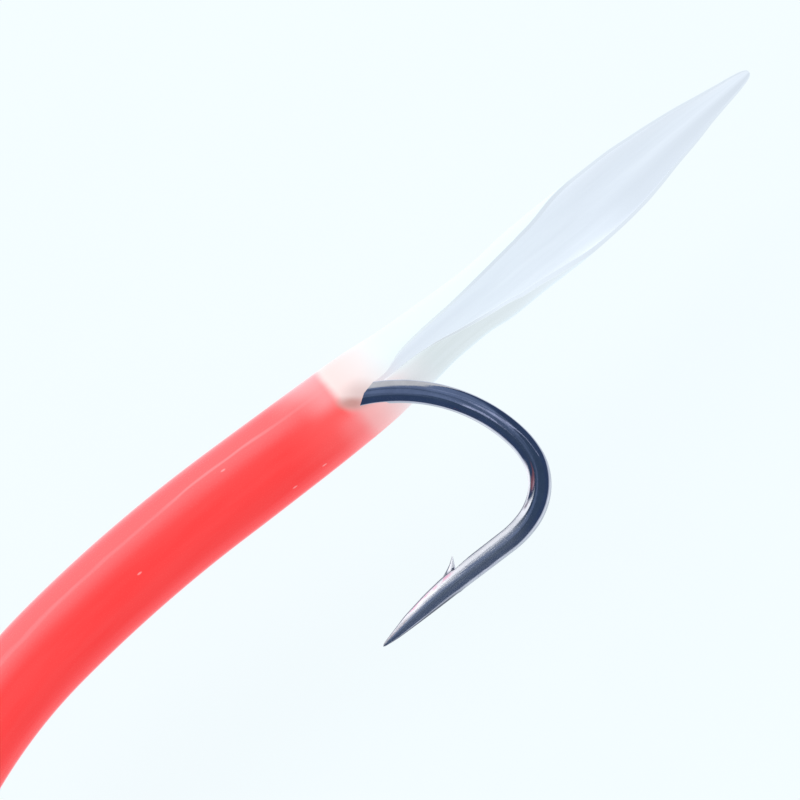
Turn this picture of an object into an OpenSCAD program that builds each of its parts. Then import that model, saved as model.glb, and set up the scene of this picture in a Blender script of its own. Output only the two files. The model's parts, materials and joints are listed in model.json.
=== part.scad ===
// Rubber tube eel lure, lying flat.
// A soft red tube with a milky white quill-cut tail carries one barbed hook,
// whose shank hides in the bore and whose bend leaves through a slot at the
// crotch of the tail cut. A wire leader joins the hook's eye to a barrel swivel
// in front of the head, past an egg sinker and a stop bead in the bore.
// Origin: centre of the line-tie ring. +X: along the swivel towards the tail.
// +Z: up, square to the plane in which the tube curves. Millimetres.

/* [Tube] */
// Outside diameter of the soft tube
tube_od = 8; // [7.6:0.1:8.4]
// Wall thickness of the soft tube
tube_wall = 0.75; // [0.6:0.05:0.8]
// Distance from the line-tie ring to the head end of the tube
head_start = 22; // [22:0.5:23]
// Distance from the line-tie ring to the rear end of the straight head
head_end = 46.5; // [46.5:0.5:48]
// Bend radius of the tube behind the head
neck_r = 50; // [45:1:80]
// Length along the tighter bend
neck_len = 24; // [20:0.5:26]
// Bend radius of the tube's middle
belly_r = 125; // [110:1:160]
// Length along the middle bend
belly_len = 19.4; // [18:0.1:20]
// Length of the straight red part in front of the tail
rump_len = 13.6; // [13:0.1:15]

/* [Tail] */
// Length of the white tail behind the colour change
tail_len = 45.6; // [44:0.1:48]
// Lean of the tail's opening towards the hook side, in degrees
tail_lean = 22; // [15:1:28]
// Distance from the colour change to the line the tail flexes about
flex_x = 9.7; // [9.5:0.1:10.5]
// Radius of the ball-shaped parting between collar and blade
flex_ball_r = 4.5; // [4.4:0.05:4.6]
// Gap left at that parting
flex_gap = 0.1; // [0.06:0.02:0.16]
// Wall thickness at the tip of the blade
tip_wall = 0.45; // [0.35:0.05:0.6]

/* [Hook] */
// Diameter of the forged hook wire
hook_wire = 2.0; // [1.8:0.1:2.1]
// Distance from the eye's centre back to the colour change
eye_back = 32.5; // [32:0.1:33]
// Radius of the eye's centre line
eye_r = 1.75; // [1.7:0.05:1.8]
// Radius of the wire in the eye
eye_wire_r = 0.8; // [0.7:0.05:0.8]
// Angle between the shank and the tail's axis, in degrees
shank_skew = 5; // [4:0.5:6]
// Distance from the eye's centre to the end of the straight shank
shank_len = 25.28; // [24:0.01:26]
// Radius of the long throat bend, and the angle it turns through
throat_r = 16.3; // [15.5:0.1:18]
throat_deg = 86.2; // [82:0.1:88]
// Radius of the back of the bend, and the angle it turns through
back_r = 8.9; // [8:0.1:12]
back_deg = 14.9; // [12:0.1:18]
// Radius of the heel of the bend, and the angle it turns through
heel_r = 5.2; // [5:0.1:6]
heel_deg = 67.5; // [64:0.1:72]
// Radius of the run-out into the point, and the angle it turns through
run_r = 8.2; // [7:0.1:12]
run_deg = 16.9; // [14:0.1:20]
// Length from the end of the bend to the tip of the point
point_len = 14.05; // [13:0.05:15]
// Length of the ground taper on the point
taper_len = 9; // [8:0.1:10]
// Distance from the end of the bend to the tip of the barb
barb_x = 4.65; // [4:0.05:5]
// Rise of the plane of the hook from eye to bend, in degrees
hook_rise = 3.06; // [2.9:0.02:3.2]

/* [Leader] */
// Diameter of the leader wire
wire_d = 0.8; // [0.7:0.05:0.8]
// Length of each crimp sleeve
crimp_len = 6; // [5:0.5:6]
// Distance from the line tie to the front crimp sleeve
crimp_x = 21; // [20.5:0.1:21]
// Distance from the line tie to the rear crimp sleeve's front end, along the tube
rear_crimp_s = 57; // [56.5:0.1:57.5]

/* [Sinker and bead] */
// Largest diameter of the egg sinker
sinker_d = 6.2; // [5.8:0.05:6.2]
// Length of the egg sinker
sinker_len = 14; // [12:0.5:14]
// Distance from the line tie to the sinker's front end
sinker_x = 32.4; // [32.4:0.1:32.5]
// Diameter of the stop bead
bead_d = 5; // [4:0.1:5.6]
// Length of the stop bead along the wire
bead_len = 3.6; // [3:0.1:3.6]

/* [Swivel] */
// Radius of the line-tie hole
tie_r = 1.25; // [1.15:0.05:1.3]
// Radius of the swivel's ring wire
ring_wire_r = 0.5; // [0.45:0.01:0.52]
// Length of the swivel's barrel
barrel_len = 6.4; // [6.2:0.1:6.6]
// Largest radius of the swivel's barrel
barrel_r = 2.0; // [1.9:0.05:2.2]
// Radius of a ring's stem where it turns in the barrel
stem_r = 0.55; // [0.5:0.01:0.6]
// Radial running clearance round the stems
run_gap = 0.05; // [0.03:0.01:0.08]

/* [Hidden] */
$fn = 48;

tube_r = tube_od/2;
bore_r = tube_r - tube_wall;
ring_r = tie_r + ring_wire_r;
wire_r = wire_d/2;
hook_r = hook_wire/2;
overrun = 1; // how far a cutting shape runs past the face it cuts
eye_side = 1.33; // from the tail's axis to the eye's centre, towards the hook side
crimp_color = [0.72, 0.5, 0.33];
swivel_color = [0.2, 0.2, 0.22];

// ---- places: [x, y, heading in degrees, anticlockwise from +X] ----
function step(place, along, left = 0) = let (heading = place[2])
    [place[0] + along*cos(heading) - left*sin(heading),
     place[1] + along*sin(heading) + left*cos(heading), heading];
// Turns left; a negative radius with a negative turn goes right
function arc(place, radius, turn) = let (heading = place[2] + turn)
    [place[0] + radius*(sin(heading) - sin(place[2])),
     place[1] - radius*(cos(heading) - cos(place[2])), heading];
function arc_steps(place, radius, turn, steps) =
    [for (i = [1:steps]) arc(place, radius, turn*i/steps)];
function bend_right(place, radius, length) = arc(place, -radius, -length/radius*180/PI);
function heading_to(from, to) = atan2(to[1] - from[1], to[0] - from[0]);

// Centre line of the tube, as places at distances along it
belly_start = head_end + neck_len;
rump_start = belly_start + belly_len;
tail_start = rump_start + rump_len;
neck_place = [head_end, 0, 0];
belly_place = bend_right(neck_place, neck_r, neck_len);
rump_place = bend_right(belly_place, belly_r, belly_len);
function spine(station) =
    station <= head_end ? [station, 0, 0]
    : station <= belly_start ? bend_right(neck_place, neck_r, station - head_end)
    : station <= rump_start ? bend_right(belly_place, belly_r, station - belly_start)
    : step(rump_place, station - rump_start);
tail_place = spine(tail_start);

// Moves to a place and turns to its heading
module at(place) translate([place[0], place[1], 0]) rotate([0, 0, place[2]]) children();
// Tail's frame: x along the tail from the colour change, -y towards the hook side, z up
module in_tail() at(tail_place) children();
// The same, leaned so that z points out of the tail's opening
module in_lean() in_tail() rotate([tail_lean, 0, 0]) children();

// ---- sweeps: rings is a list of rings, each a list of points ----
function flat(lists) = [for (list = lists) for (item = list) item];
// faces joining each of n rings of m points to the next
function skin(n, m) = [for (i = [0:n-2]) for (j = [0:m-1])
    let (k = (j+1) % m, ring = i*m, next = ring + m)
    each [[ring+j, next+j, next+k], [ring+j, next+k, ring+k]]];
// round sections, closed by flat ends
module loft(rings) {
    n = len(rings);
    m = len(rings[0]);
    polyhedron(points = flat(rings), convexity = 8,
        faces = concat(skin(n, m),
            [[for (j = [0:m-1]) j]], [[for (j = [m-1:-1:0]) (n-1)*m + j]]));
}
// trough sections, whose points run out along one face and back along the other;
// the ends are closed by a strip between the two faces
module trough(rings) {
    n = len(rings);
    m = len(rings[0]);
    last = (n-1)*m;
    polyhedron(points = flat(rings), convexity = 8,
        faces = concat(skin(n, m), [for (i = [0:m/2-2]) each
            [[i, i+1, m-2-i], [i, m-2-i, m-1-i],
             [last+i, last+m-2-i, last+i+1], [last+i, last+m-1-i, last+m-2-i]]]));
}
// m points of an oval square to a place's heading: its half width, half height,
// shift to the right, and the first point's lead in steps
function oval(place, across, up, m, right = 0, lead = 0) = [for (j = [0:m-1])
    let (angle = 360*(j+lead)/m, point = step(place, 0, across*cos(angle) - right))
    [point[0], point[1], up*sin(angle)]];

// ---- soft tube ----
body_stations = concat([head_start, head_start+8, head_start+16],
    [for (i = [0:12]) head_end + neck_len*i/12],
    [for (i = [1:6]) belly_start + belly_len*i/6], [tail_start]);
module tube_body() {
    n = len(body_stations);
    m = 28;
    inner = n*m; // index of the first bore point
    last = (n-1)*m;
    color([0.93, 0.16, 0.15]) polyhedron(convexity = 8,
        points = [for (radius = [tube_r, bore_r]) for (station = body_stations)
            each oval(spine(station), radius, radius, m, lead = 0.5)],
        faces = concat(
            skin(n, m),
            [for (face = skin(n, m)) [inner+face[0], inner+face[2], inner+face[1]]],
            [for (j = [0:m-1]) let (k = (j+1) % m) each
                [[j, k, inner+k], [j, inner+k, inner+j],
                 [last+j, inner+last+k, last+k], [last+j, inner+last+j, inner+last+k]]]));
}

// ---- white start of the tail, with the slot the hook leaves through ----
collar_len = flex_x - 1;
collar_taper = 0.45; // loss of radius to the rear
bore_ease = 0.06;    // extra bore radius at the front
// [along the tail, across it with the hook side negative]
slot_outline = [[1.1, -0.5], [3, 0.25], [4.3, 0.3], [flex_x, 1.35],
                [flex_x, -3.45], [4.6, -3.3], [3, -2.5], [1.5, -1.5]];
module tail_collar() color([0.95, 0.95, 0.93]) in_lean() difference() {
    rotate([0, 90, 0]) cylinder(h = collar_len, r1 = tube_r, r2 = tube_r - collar_taper);
    translate([-overrun, 0, 0]) rotate([0, 90, 0])
        cylinder(h = flex_x + 2*overrun, r1 = bore_r + bore_ease, r2 = bore_r - collar_taper);
    linear_extrude(height = tube_r + overrun) polygon(slot_outline);
    translate([flex_x, 0, 0]) sphere(r = flex_ball_r, $fn = 120);
}

// ---- quill-cut tail blade: a trough that opens and flattens to the tip ----
// Each table: [x along the tail, value]
blade_half_width = [[7, 3.3], [10.5, 2.95], [14, 2.86], [20, 3.06], [28.6, 3.06],
    [31.4, 2.89], [35.8, 2.23], [40.5, 1.35], [44.8, 0.54], [45.6, 0.12]];
blade_drift = [[0, 0], [7, 0.12], [16, 0.32], [25.9, 0.8], [33.7, 1.33],
    [40.5, 1.83], [45.6, 2.04]]; // middle's offset away from the hook side
blade_depth = [[7, 3.72], [20, 3.85], [25.4, 3.85], [29, 3.0], [33, 2.1], [36, 1.4],
    [39, 0.95], [42, 0.55], [45.6, 0.25]];
blade_wall = [[7, tube_wall], [25, tube_wall - 0.05], [45.6, tip_wall]];
// Rims, in degrees from the top: away from the hook side, and on it
rim_far = [[7, 17], [12.5, 26], [15.8, 37], [21.5, 46], [23.1, 51], [24.3, 65], [25.4, 90]];
rim_near = [[7, 9], [11.7, 26], [16.8, 38], [18.1, 46], [18.8, 60], [19.4, 90]];
blade_stations = [flex_x - 2.3, 9, 11, 13, 15, 16.8, 18.1, 18.8, 19.4, 21.5, 23.1, 24.3,
    25.4, 27.2, 29, 31, 33, 34.5, 36, 37.5, 39, 40.5, 42, 43.4, 44.8, tail_len];
blade_front = 7;        // where the ball-shaped front end takes its section
blade_lift = 0.12;      // blade's underside above the tube's
edge_wall_share = 0.35; // most of the half width that a side wall takes
// section as [y, z]: outer face from near rim to far rim, then inner face back
function blade_outline(x) = let (
        n = 20,
        middle = lookup(x, blade_drift),
        wide = lookup(x, blade_half_width),
        deep = lookup(x, blade_depth),
        wall = lookup(x, blade_wall),
        wide_in = wide - min(wall, edge_wall_share*wide),
        deep_in = deep - wall,
        centre_z = deep - tube_r + blade_lift,
        near = lookup(x, rim_near) - 180,
        far = 180 - lookup(x, rim_far),
        angles = [for (i = [0:n]) near + (far-near)*i/n])
    concat([for (a = angles) [middle + wide*sin(a), centre_z - deep*cos(a)]],
           [for (i = [n:-1:0]) let (a = angles[i])
               [middle + wide_in*sin(a), centre_z - deep_in*cos(a)]]);
function parting_x(y, z) = flex_x - sqrt(pow(flex_ball_r - flex_gap, 2) - y*y - z*z);
module tail_blade() color([0.9, 0.93, 0.95]) in_lean() trough(concat(
    [[for (p = blade_outline(blade_front)) [parting_x(p[0], p[1]), p[0], p[1]]]],
    [for (x = blade_stations) [for (p = blade_outline(x)) [x, p[0], p[1]]]]));

// ---- hook: planar centre line from the eye, at the origin, round to the tip ----
eye_place = [0, 0, -shank_skew];
throat_place = step(eye_place, shank_len);
back_place = arc(throat_place, throat_r, throat_deg);
heel_place = arc(back_place, back_r, back_deg);
run_place = arc(heel_place, heel_r, heel_deg);
point_place = arc(run_place, run_r, run_deg);
taper_start = point_len - taper_len;
tip_trim = 0.02; // last section's distance short of the tip
hook_path = concat(
    [for (along = [eye_r - 0.1, 6, 12, 18, shank_len]) step(eye_place, along)],
    arc_steps(throat_place, throat_r, throat_deg, 18),
    arc_steps(back_place, back_r, back_deg, 4),
    arc_steps(heel_place, heel_r, heel_deg, 13),
    arc_steps(run_place, run_r, run_deg, 3),
    [step(point_place, taper_start)],
    [for (i = [1:8]) step(point_place,
        point_len - taper_len*(1 - pow(i/8, 0.85)) - (i == 8 ? tip_trim : 0))]);
// share of the wire's width left along the point: 1 before the taper, 0 at the tip
function wire_left(along) =
    along < taper_start ? 1 : 1 - pow((along - taper_start)/taper_len, 2.1);
// the taper keeps the outer face straight, and thins the height later than the width
function hook_ring(place) = let (
        on_point = place[2] >= point_place[2] - 0.01,
        along = on_point ? norm([place[0]-point_place[0], place[1]-point_place[1]]) : 0,
        left = max(0.03, wire_left(along)),
        across = hook_r*left,
        up = hook_r*(0.3*left + 0.7*sqrt(left))*(left < 0.1 ? 0.6 : 1))
    oval(place, across, up, 18, right = hook_r - across);
// barb sections: [along the point, towards the inside of the bend, up]
barb_tip = [[barb_x + 0.1, 2, -0.04], [barb_x + 0.1, 2, 0.04],
            [barb_x, 1.95, 0.06], [barb_x, 1.95, -0.06]];
barb_root = [[barb_x + 2.2, 0.7, -0.42], [barb_x + 2.2, 0.7, 0.42],
             [barb_x + 0.5, 0.7, 0.42], [barb_x + 0.5, 0.7, -0.42]];
module hook() color([0.2, 0.22, 0.28]) in_tail() rotate([180, 0, 0])
    translate([-eye_back, eye_side, 0]) rotate([0, hook_rise, 0]) {
        loft([for (place = hook_path) hook_ring(place)]);
        // barb: a sliver raised from the inner face, its tip leaning back
        at(point_place) loft([barb_tip, barb_root]);
        // eye: its hole faces sideways, in the plane of the bend
        rotate([0, 0, -shank_skew]) rotate([90, 0, 0])
            rotate_extrude() translate([eye_r, 0]) circle(eye_wire_r);
    }

// ---- leader: wire looped through the swivel and through the hook's eye ----
bore_y = 0.47;      // half the distance between the two bores of a crimp sleeve
crimp_r = 0.95;     // radius of a sleeve's rounded sides
crimp_gap = 0.05;   // clearance of the wire in a sleeve
loop_gap = 0.1;     // clearance of a loop round the ring it holds
loop_tuck = 0.3;    // how far inside a sleeve a loop starts to open
wire_stub = 0.5;    // free end standing out of a sleeve
rear_ring_x = 13.2; // line tie to the centre of the swivel's rear ring
// Hubs are the centres of the ring wire that the loops go round
front_crimp = [crimp_x, 0, 0];
front_hub = [rear_ring_x + ring_r, 0, 0];
hook_eye = step(tail_place, -eye_back, -eye_side);
eye_front = step([hook_eye[0], hook_eye[1], tail_place[2] + shank_skew], -eye_r);
rear_spine = spine(rear_crimp_s);
rear_heading = heading_to(rear_spine, eye_front);
rear_crimp = [rear_spine[0], rear_spine[1], rear_heading];
rear_hub = [eye_front[0], eye_front[1], rear_heading];
axis_in = [30.2, 0, 0]; // where the wire meets the tube's axis, and leaves it
axis_out = spine(51);

// smooth curve between two places; a negative pull runs against their headings
function curve(from, to, pull, steps) = [for (i = [1:steps])
    let (t = i/steps, blend = t*t*(3 - 2*t))
    (1 - blend)*from + blend*to
        + pull*t*(1-t)*(1-t)*[cos(from[2]), sin(from[2]), 0]
        - pull*t*t*(1-t)*[cos(to[2]), sin(to[2]), 0]];
// out of one bore of a sleeve, round a hub and back to the other bore;
// way is 1 for a loop behind its sleeve, -1 for one in front
function wire_loop(crimp, mouth, hub, radius, way, steps) =
    let (start = step(crimp, mouth, -way*bore_y))
    concat([start],
        curve(start, step(hub, 0, -way*radius), 5*way, steps),
        [for (i = [1:8]) let (a = 180*i/8)
            step(hub, way*radius*sin(a), -way*radius*cos(a))],
        curve(step(hub, 0, way*radius), step(crimp, mouth, way*bore_y), -5*way, steps));
front_exit = step(front_crimp, crimp_len, -bore_y);
leader_path = concat(
    [step(front_crimp, crimp_len + wire_stub, bore_y)],
    wire_loop(front_crimp, loop_tuck, front_hub, ring_wire_r + wire_r + loop_gap, -1, 7),
    [front_exit],
    curve(front_exit, axis_in, 3, 5),
    [for (past = [0, 1.5, 3]) spine(head_end + past)],
    [axis_out],
    curve(axis_out, step(rear_crimp, 0, -bore_y), 5, 6),
    wire_loop(rear_crimp, crimp_len - loop_tuck, rear_hub,
              eye_wire_r + wire_r + loop_gap, 1, 6),
    [step(rear_crimp, -wire_stub, bore_y)]);
module leader_wire() color([0.62, 0.64, 0.66]) {
    last = len(leader_path) - 1;
    loft([for (i = [0:last]) let (
            p = leader_path[i],
            heading = heading_to(leader_path[max(i-1, 0)], leader_path[min(i+1, last)]))
        oval([p[0], p[1], heading], wire_r, wire_r, 8)]);
}

module crimp_sleeve() difference() {
    rotate([90, 0, 90]) linear_extrude(height = crimp_len) union() {
        translate([bore_y, 0]) circle(r = crimp_r);
        translate([-bore_y, 0]) circle(r = crimp_r);
        square([2*bore_y, 2*crimp_r], center = true);
    }
    for (y = [-bore_y, bore_y]) translate([-overrun, y, 0]) rotate([0, 90, 0])
        cylinder(h = crimp_len + 2*overrun, r = wire_r + crimp_gap);
}
module front_crimp_sleeve() color(crimp_color) at(front_crimp) crimp_sleeve();
module rear_crimp_sleeve() color(crimp_color) at(rear_crimp) crimp_sleeve();

// ---- egg sinker and stop bead, threaded on the leader in the head ----
sinker_bore_r = 0.75;
sinker_end_r = 0.35; // radius the egg's curve starts from at each end
bead_bore_r = 0.7;
bead_gap = 0.2; // between bead and sinker
module egg_sinker() color([0.45, 0.46, 0.48])
    translate([sinker_x, 0, 0]) rotate([0, 90, 0]) difference() {
        rotate_extrude() polygon(concat([[0, 0]],
            [for (i = [1:17]) let (a = 180*i/18)
                [sinker_end_r + (sinker_d/2 - sinker_end_r)*pow(sin(a), 0.8),
                 sinker_len/2*(1 - cos(a))]],
            [[0, sinker_len]]));
        translate([0, 0, -overrun]) cylinder(h = sinker_len + 2*overrun, r = sinker_bore_r);
    }
module stop_bead() color([0.85, 0.2, 0.2])
    translate([sinker_x - bead_gap - bead_len/2, 0, 0]) difference() {
        intersection() {
            sphere(r = bead_d/2);
            translate([-bead_len/2, 0, 0]) rotate([0, 90, 0]) cylinder(h = bead_len, r = bead_d);
        }
        translate([-bead_len, 0, 0]) rotate([0, 90, 0]) cylinder(h = 2*bead_len, r = bead_bore_r);
    }

// ---- barrel swivel ----
barrel_x = 3.4;    // line tie to the barrel's front end
cavity_wall = 1.3; // thickness of the barrel's ends
cavity_r = 1.3;
head_r = 1.1;      // head of a ring's stem, held in the cavity
head_len = 0.7;
head_inset = 1.35; // barrel's end to the head
stem_inset = 0.05; // ring wire's centre line to the stem's start
band_width = 0.6;  // flat band lining a ring's hole
// front half of the barrel's profile: [radius, distance from its end]
barrel_half = [[0, 0], [1.15, 0], [1.5, 0.35], [1.5, 0.75],
               [barrel_r - 0.12, 1.3], [barrel_r, 1.6]];
// ring at the origin, its stem along +x; reach is from its centre to the barrel
module swivel_ring(reach) {
    stem_x = ring_r + stem_inset;
    head_x = reach + head_inset;
    rotate_extrude() union() {
        translate([ring_r, 0]) circle(r = ring_wire_r);
        translate([tie_r, -band_width/2]) square([ring_wire_r, band_width]);
    }
    translate([stem_x, 0, 0]) rotate([0, 90, 0])
        cylinder(h = head_x + head_len - stem_x, r = stem_r);
    translate([head_x, 0, 0]) rotate([0, 90, 0]) cylinder(h = head_len, r = head_r);
}
module swivel_front_ring() color(swivel_color) swivel_ring(barrel_x);
module swivel_rear_ring() color(swivel_color)
    translate([rear_ring_x, 0, 0]) rotate([90, 0, 180])
        swivel_ring(rear_ring_x - barrel_x - barrel_len);
module swivel_barrel() color(swivel_color)
    translate([barrel_x, 0, 0]) rotate([0, 90, 0]) difference() {
        rotate_extrude() polygon(concat(barrel_half,
            [for (i = [len(barrel_half)-1:-1:0])
                [barrel_half[i][0], barrel_len - barrel_half[i][1]]]));
        translate([0, 0, cavity_wall]) cylinder(h = barrel_len - 2*cavity_wall, r = cavity_r);
        translate([0, 0, -overrun]) cylinder(h = barrel_len + 2*overrun, r = stem_r + run_gap);
    }

tube_body();
tail_collar();
tail_blade();
hook();
leader_wire();
rear_crimp_sleeve();
front_crimp_sleeve();
egg_sinker();
stop_bead();
swivel_rear_ring();
swivel_barrel();
swivel_front_ring();
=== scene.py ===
import json
import math
import bpy
import bmesh
import numpy as np
from mathutils import Matrix, Vector
from mathutils.kdtree import KDTree


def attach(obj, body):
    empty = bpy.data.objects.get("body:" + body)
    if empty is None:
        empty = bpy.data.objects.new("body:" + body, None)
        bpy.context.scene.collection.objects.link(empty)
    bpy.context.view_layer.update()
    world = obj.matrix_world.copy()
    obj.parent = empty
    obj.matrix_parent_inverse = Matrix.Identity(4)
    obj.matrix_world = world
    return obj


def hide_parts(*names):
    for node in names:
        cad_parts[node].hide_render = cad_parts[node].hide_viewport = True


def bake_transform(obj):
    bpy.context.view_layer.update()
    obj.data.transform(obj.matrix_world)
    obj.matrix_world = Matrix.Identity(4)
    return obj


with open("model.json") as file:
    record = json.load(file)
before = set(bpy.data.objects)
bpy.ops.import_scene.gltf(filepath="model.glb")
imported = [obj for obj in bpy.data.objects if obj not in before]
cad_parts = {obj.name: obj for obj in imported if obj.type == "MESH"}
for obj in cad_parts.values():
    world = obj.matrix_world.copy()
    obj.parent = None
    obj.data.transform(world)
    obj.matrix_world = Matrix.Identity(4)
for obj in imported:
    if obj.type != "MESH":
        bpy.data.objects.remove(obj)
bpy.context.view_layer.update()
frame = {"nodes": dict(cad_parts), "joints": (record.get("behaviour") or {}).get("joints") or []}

MM = 0.001
NODES = frame["nodes"]
JOINTS = {j["name"]: j for j in frame["joints"]}

# ------------------------------------------------------------------ design numbers, millimetres
HEAD_START, HEAD_END = 22.0, 46.5
NECK_R, NECK_LEN = 50.0, 24.0
BELLY_R, BELLY_LEN = 125.0, 19.4
RUMP, TAIL = 13.6, 45.6
LEAN = math.radians(22.0)
S1 = HEAD_END
S2 = S1 + NECK_LEN
S3 = S2 + BELLY_LEN
S4 = S3 + RUMP                      # the colour change
TUBE_R, WALL = 4.0, 0.75


def arc_right(p, r, a):
    h = p[2]
    return (p[0] + r*(-math.sin(h-a) + math.sin(h)), p[1] + r*(math.cos(h-a) - math.cos(h)), h-a)


Q1 = (S1, 0.0, 0.0)
Q2 = arc_right(Q1, NECK_R, NECK_LEN/NECK_R)
Q3 = arc_right(Q2, BELLY_R, BELLY_LEN/BELLY_R)
Q4 = (Q3[0] + RUMP*math.cos(Q3[2]), Q3[1] + RUMP*math.sin(Q3[2]), Q3[2])


def spine(s):
    if s <= S1:
        return (s, 0.0, 0.0)
    if s <= S2:
        return arc_right(Q1, NECK_R, (s-S1)/NECK_R)
    if s <= S3:
        return arc_right(Q2, BELLY_R, (s-S2)/BELLY_R)
    return (Q3[0] + (s-S3)*math.cos(Q3[2]), Q3[1] + (s-S3)*math.sin(Q3[2]), Q3[2])


def axes_at(h):
    """Along the tube, out of the tail's opening (c) and across it towards the hook side (d)."""
    t = np.array([math.cos(h), math.sin(h), 0.0])
    side = np.array([math.sin(h), -math.cos(h), 0.0])
    up = np.array([0.0, 0.0, 1.0])
    c = math.sin(LEAN)*side + math.cos(LEAN)*up
    d = math.cos(LEAN)*side - math.sin(LEAN)*up
    return t, c, d


T4, C4, D4 = axes_at(Q4[2])
SIDE4 = np.array([math.sin(Q4[2]), -math.cos(Q4[2]), 0.0])
P4 = np.array([Q4[0], Q4[1], 0.0])


def unit3(v):
    v = np.array(v, float)
    return v/np.linalg.norm(v)


def curve_fn(pairs):
    """Smooth monotone interpolation through (x, y) pairs."""
    x = np.array([p[0] for p in pairs], float)
    y = np.array([p[1] for p in pairs], float)
    h = np.diff(x)
    d = np.diff(y)/h
    m = np.zeros_like(x)
    m[0], m[-1] = d[0], d[-1]
    for i in range(1, len(x)-1):
        if d[i-1]*d[i] > 0:
            w1, w2 = 2*h[i] + h[i-1], h[i] + 2*h[i-1]
            m[i] = (w1+w2)/(w1/d[i-1] + w2/d[i])

    def f(v):
        v = min(max(v, x[0]), x[-1])
        i = min(max(int(np.searchsorted(x, v)) - 1, 0), len(h)-1)
        t = (v - x[i])/h[i]
        return ((2*t**3 - 3*t*t + 1)*y[i] + (t**3 - 2*t*t + t)*h[i]*m[i]
                + (3*t*t - 2*t**3)*y[i+1] + (t**3 - t*t)*h[i]*m[i+1])
    return f


def smooth(a, b, v):
    """Smooth step from 0 at a to 1 at b; a may be the larger."""
    t = np.clip((np.asarray(v, float) - a)/(b - a), 0, 1)
    return t*t*(3 - 2*t)


def add_mesh(name, verts_mm, faces, smooth_angle=40):
    me = bpy.data.meshes.new(name)
    me.from_pydata([tuple(v) for v in np.asarray(verts_mm)*MM], [], faces)
    me.validate()
    ob = bpy.data.objects.new(name, me)
    bpy.context.scene.collection.objects.link(ob)
    finish_mesh(ob, smooth_angle)
    return ob


def finish_mesh(ob, smooth_angle=40, merge=None):
    bm = bmesh.new()
    bm.from_mesh(ob.data)
    if merge:
        bmesh.ops.remove_doubles(bm, verts=bm.verts, dist=merge)
        bmesh.ops.dissolve_degenerate(bm, edges=bm.edges, dist=1e-9)
    bmesh.ops.recalc_face_normals(bm, faces=bm.faces)
    lim = math.radians(smooth_angle)
    for f in bm.faces:
        f.smooth = True
    for e in bm.edges:
        e.smooth = len(e.link_faces) == 2 and e.calc_face_angle(0) < lim
    bm.to_mesh(ob.data)
    bm.free()
    ob.data.update()


def apply_modifiers(ob):
    dg = bpy.context.evaluated_depsgraph_get()
    me = bpy.data.meshes.new_from_object(ob.evaluated_get(dg))
    ob.modifiers.clear()
    old = ob.data
    ob.data = me
    bpy.data.meshes.remove(old)


def boolean(ob, other, op):
    m = ob.modifiers.new("b", "BOOLEAN")
    m.operation, m.solver, m.object = op, "EXACT", other
    apply_modifiers(ob)
    bpy.data.objects.remove(other)


def loft(name, rings, close_start=True, close_end=True, smooth_angle=40):
    rings = [np.asarray(r, float) for r in rings]
    m = len(rings[0])
    verts = np.vstack(rings)
    faces = []
    for i in range(len(rings)-1):
        for j in range(m):
            k = (j+1) % m
            faces.append((i*m+j, (i+1)*m+j, (i+1)*m+k, i*m+k))
    if close_start:
        faces.append(tuple(range(m)))
    if close_end:
        faces.append(tuple((len(rings)-1)*m + j for j in reversed(range(m))))
    return add_mesh(name, verts, faces, smooth_angle)


# ------------------------------------------------------------------ soft tube with its quill-cut tail
half_w = curve_fn([(-81.5, 4.0), (-40, 4.0), (-30, 4.03), (-14, 4.02), (-6, 3.94), (0, 3.8), (2.5, 3.68), (5.2, 3.42), (7.4, 3.22),
                   (10.4, 2.97), (13.8, 2.86), (16, 2.96), (19.8, 3.1), (24, 3.17), (26, 3.13), (28.6, 3.05), (31.4, 2.88),
                   (33.7, 2.56), (35.8, 2.22), (38.5, 1.78), (40.5, 1.37), (42.9, 0.94), (43.85, 0.78), (44.8, 0.57), (45.25, 0.42), (45.5, 0.27), (45.6, 0.12)])
depth_r = curve_fn([(-81.5, 4.0), (-6, 3.96), (0, 3.86), (7, 3.74), (14, 3.8), (20, 3.85), (25, 3.8), (27.5, 3.35), (30, 2.72), (33, 2.05),
                    (36, 1.4), (39, 0.95), (42, 0.55), (45.6, 0.22)])
bottom_r = curve_fn([(-81.5, 4.0), (-6, 3.96), (0, 3.88), (45.6, 3.86)])
drift = curve_fn([(-81.5, 0), (-5, 0), (2.5, 0.06), (5.2, 0.1), (7.4, 0.18), (10.4, 0.35), (13.8, 0.4), (16, 0.34), (19.8, 0.6),
                  (23.2, 0.7), (25.9, 0.8), (28.6, 0.94), (31.4, 1.15), (33.7, 1.33), (35.8, 1.53), (38.5, 1.7), (40.5, 1.83),
                  (42.9, 1.93), (45.6, 2.06)])
side_t = curve_fn([(-81.5, 0.75), (3, 0.73), (10, 0.62), (22, 0.55), (27.5, 0.34), (36, 0.26), (43, 0.2), (45.6, 0.1)])
wall_t = curve_fn([(-81.5, 0.75), (-3, 0.75), (8, 0.7), (25, 0.66), (36, 0.55), (43, 0.42), (45.6, 0.2)])
# across the slot and cut: far lip and near lip, towards the hook side positive
far_lip = curve_fn([(3.1, -0.14), (3.2, -0.14), (3.8, -0.15), (4.4, -0.2), (5.5, -0.6), (6.6, -0.98), (9.05, -1.34), (12.5, -1.64),
                    (15.8, -2.07), (18.6, -2.46), (21.5, -2.87)])
near_lip = curve_fn([(3.1, -0.14), (3.2, 0.05), (3.4, 0.24), (3.7, 0.3), (4.4, 0.32), (6.8, 0.24), (9.2, 0.42),
                     (11.7, 0.87), (14.7, 1.29), (16.8, 1.5), (17.9, 1.75)])
far_late = curve_fn([(20.5, 43.0), (22.0, 47.5), (23.2, 54), (24.2, 62), (25.2, 71), (26.2, 80), (27.4, 90)])
near_late = curve_fn([(17.9, 46.6), (20.4, 56), (22.8, 67), (24.2, 77), (25.6, 90)])
CUT_AT = 3.1


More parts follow.
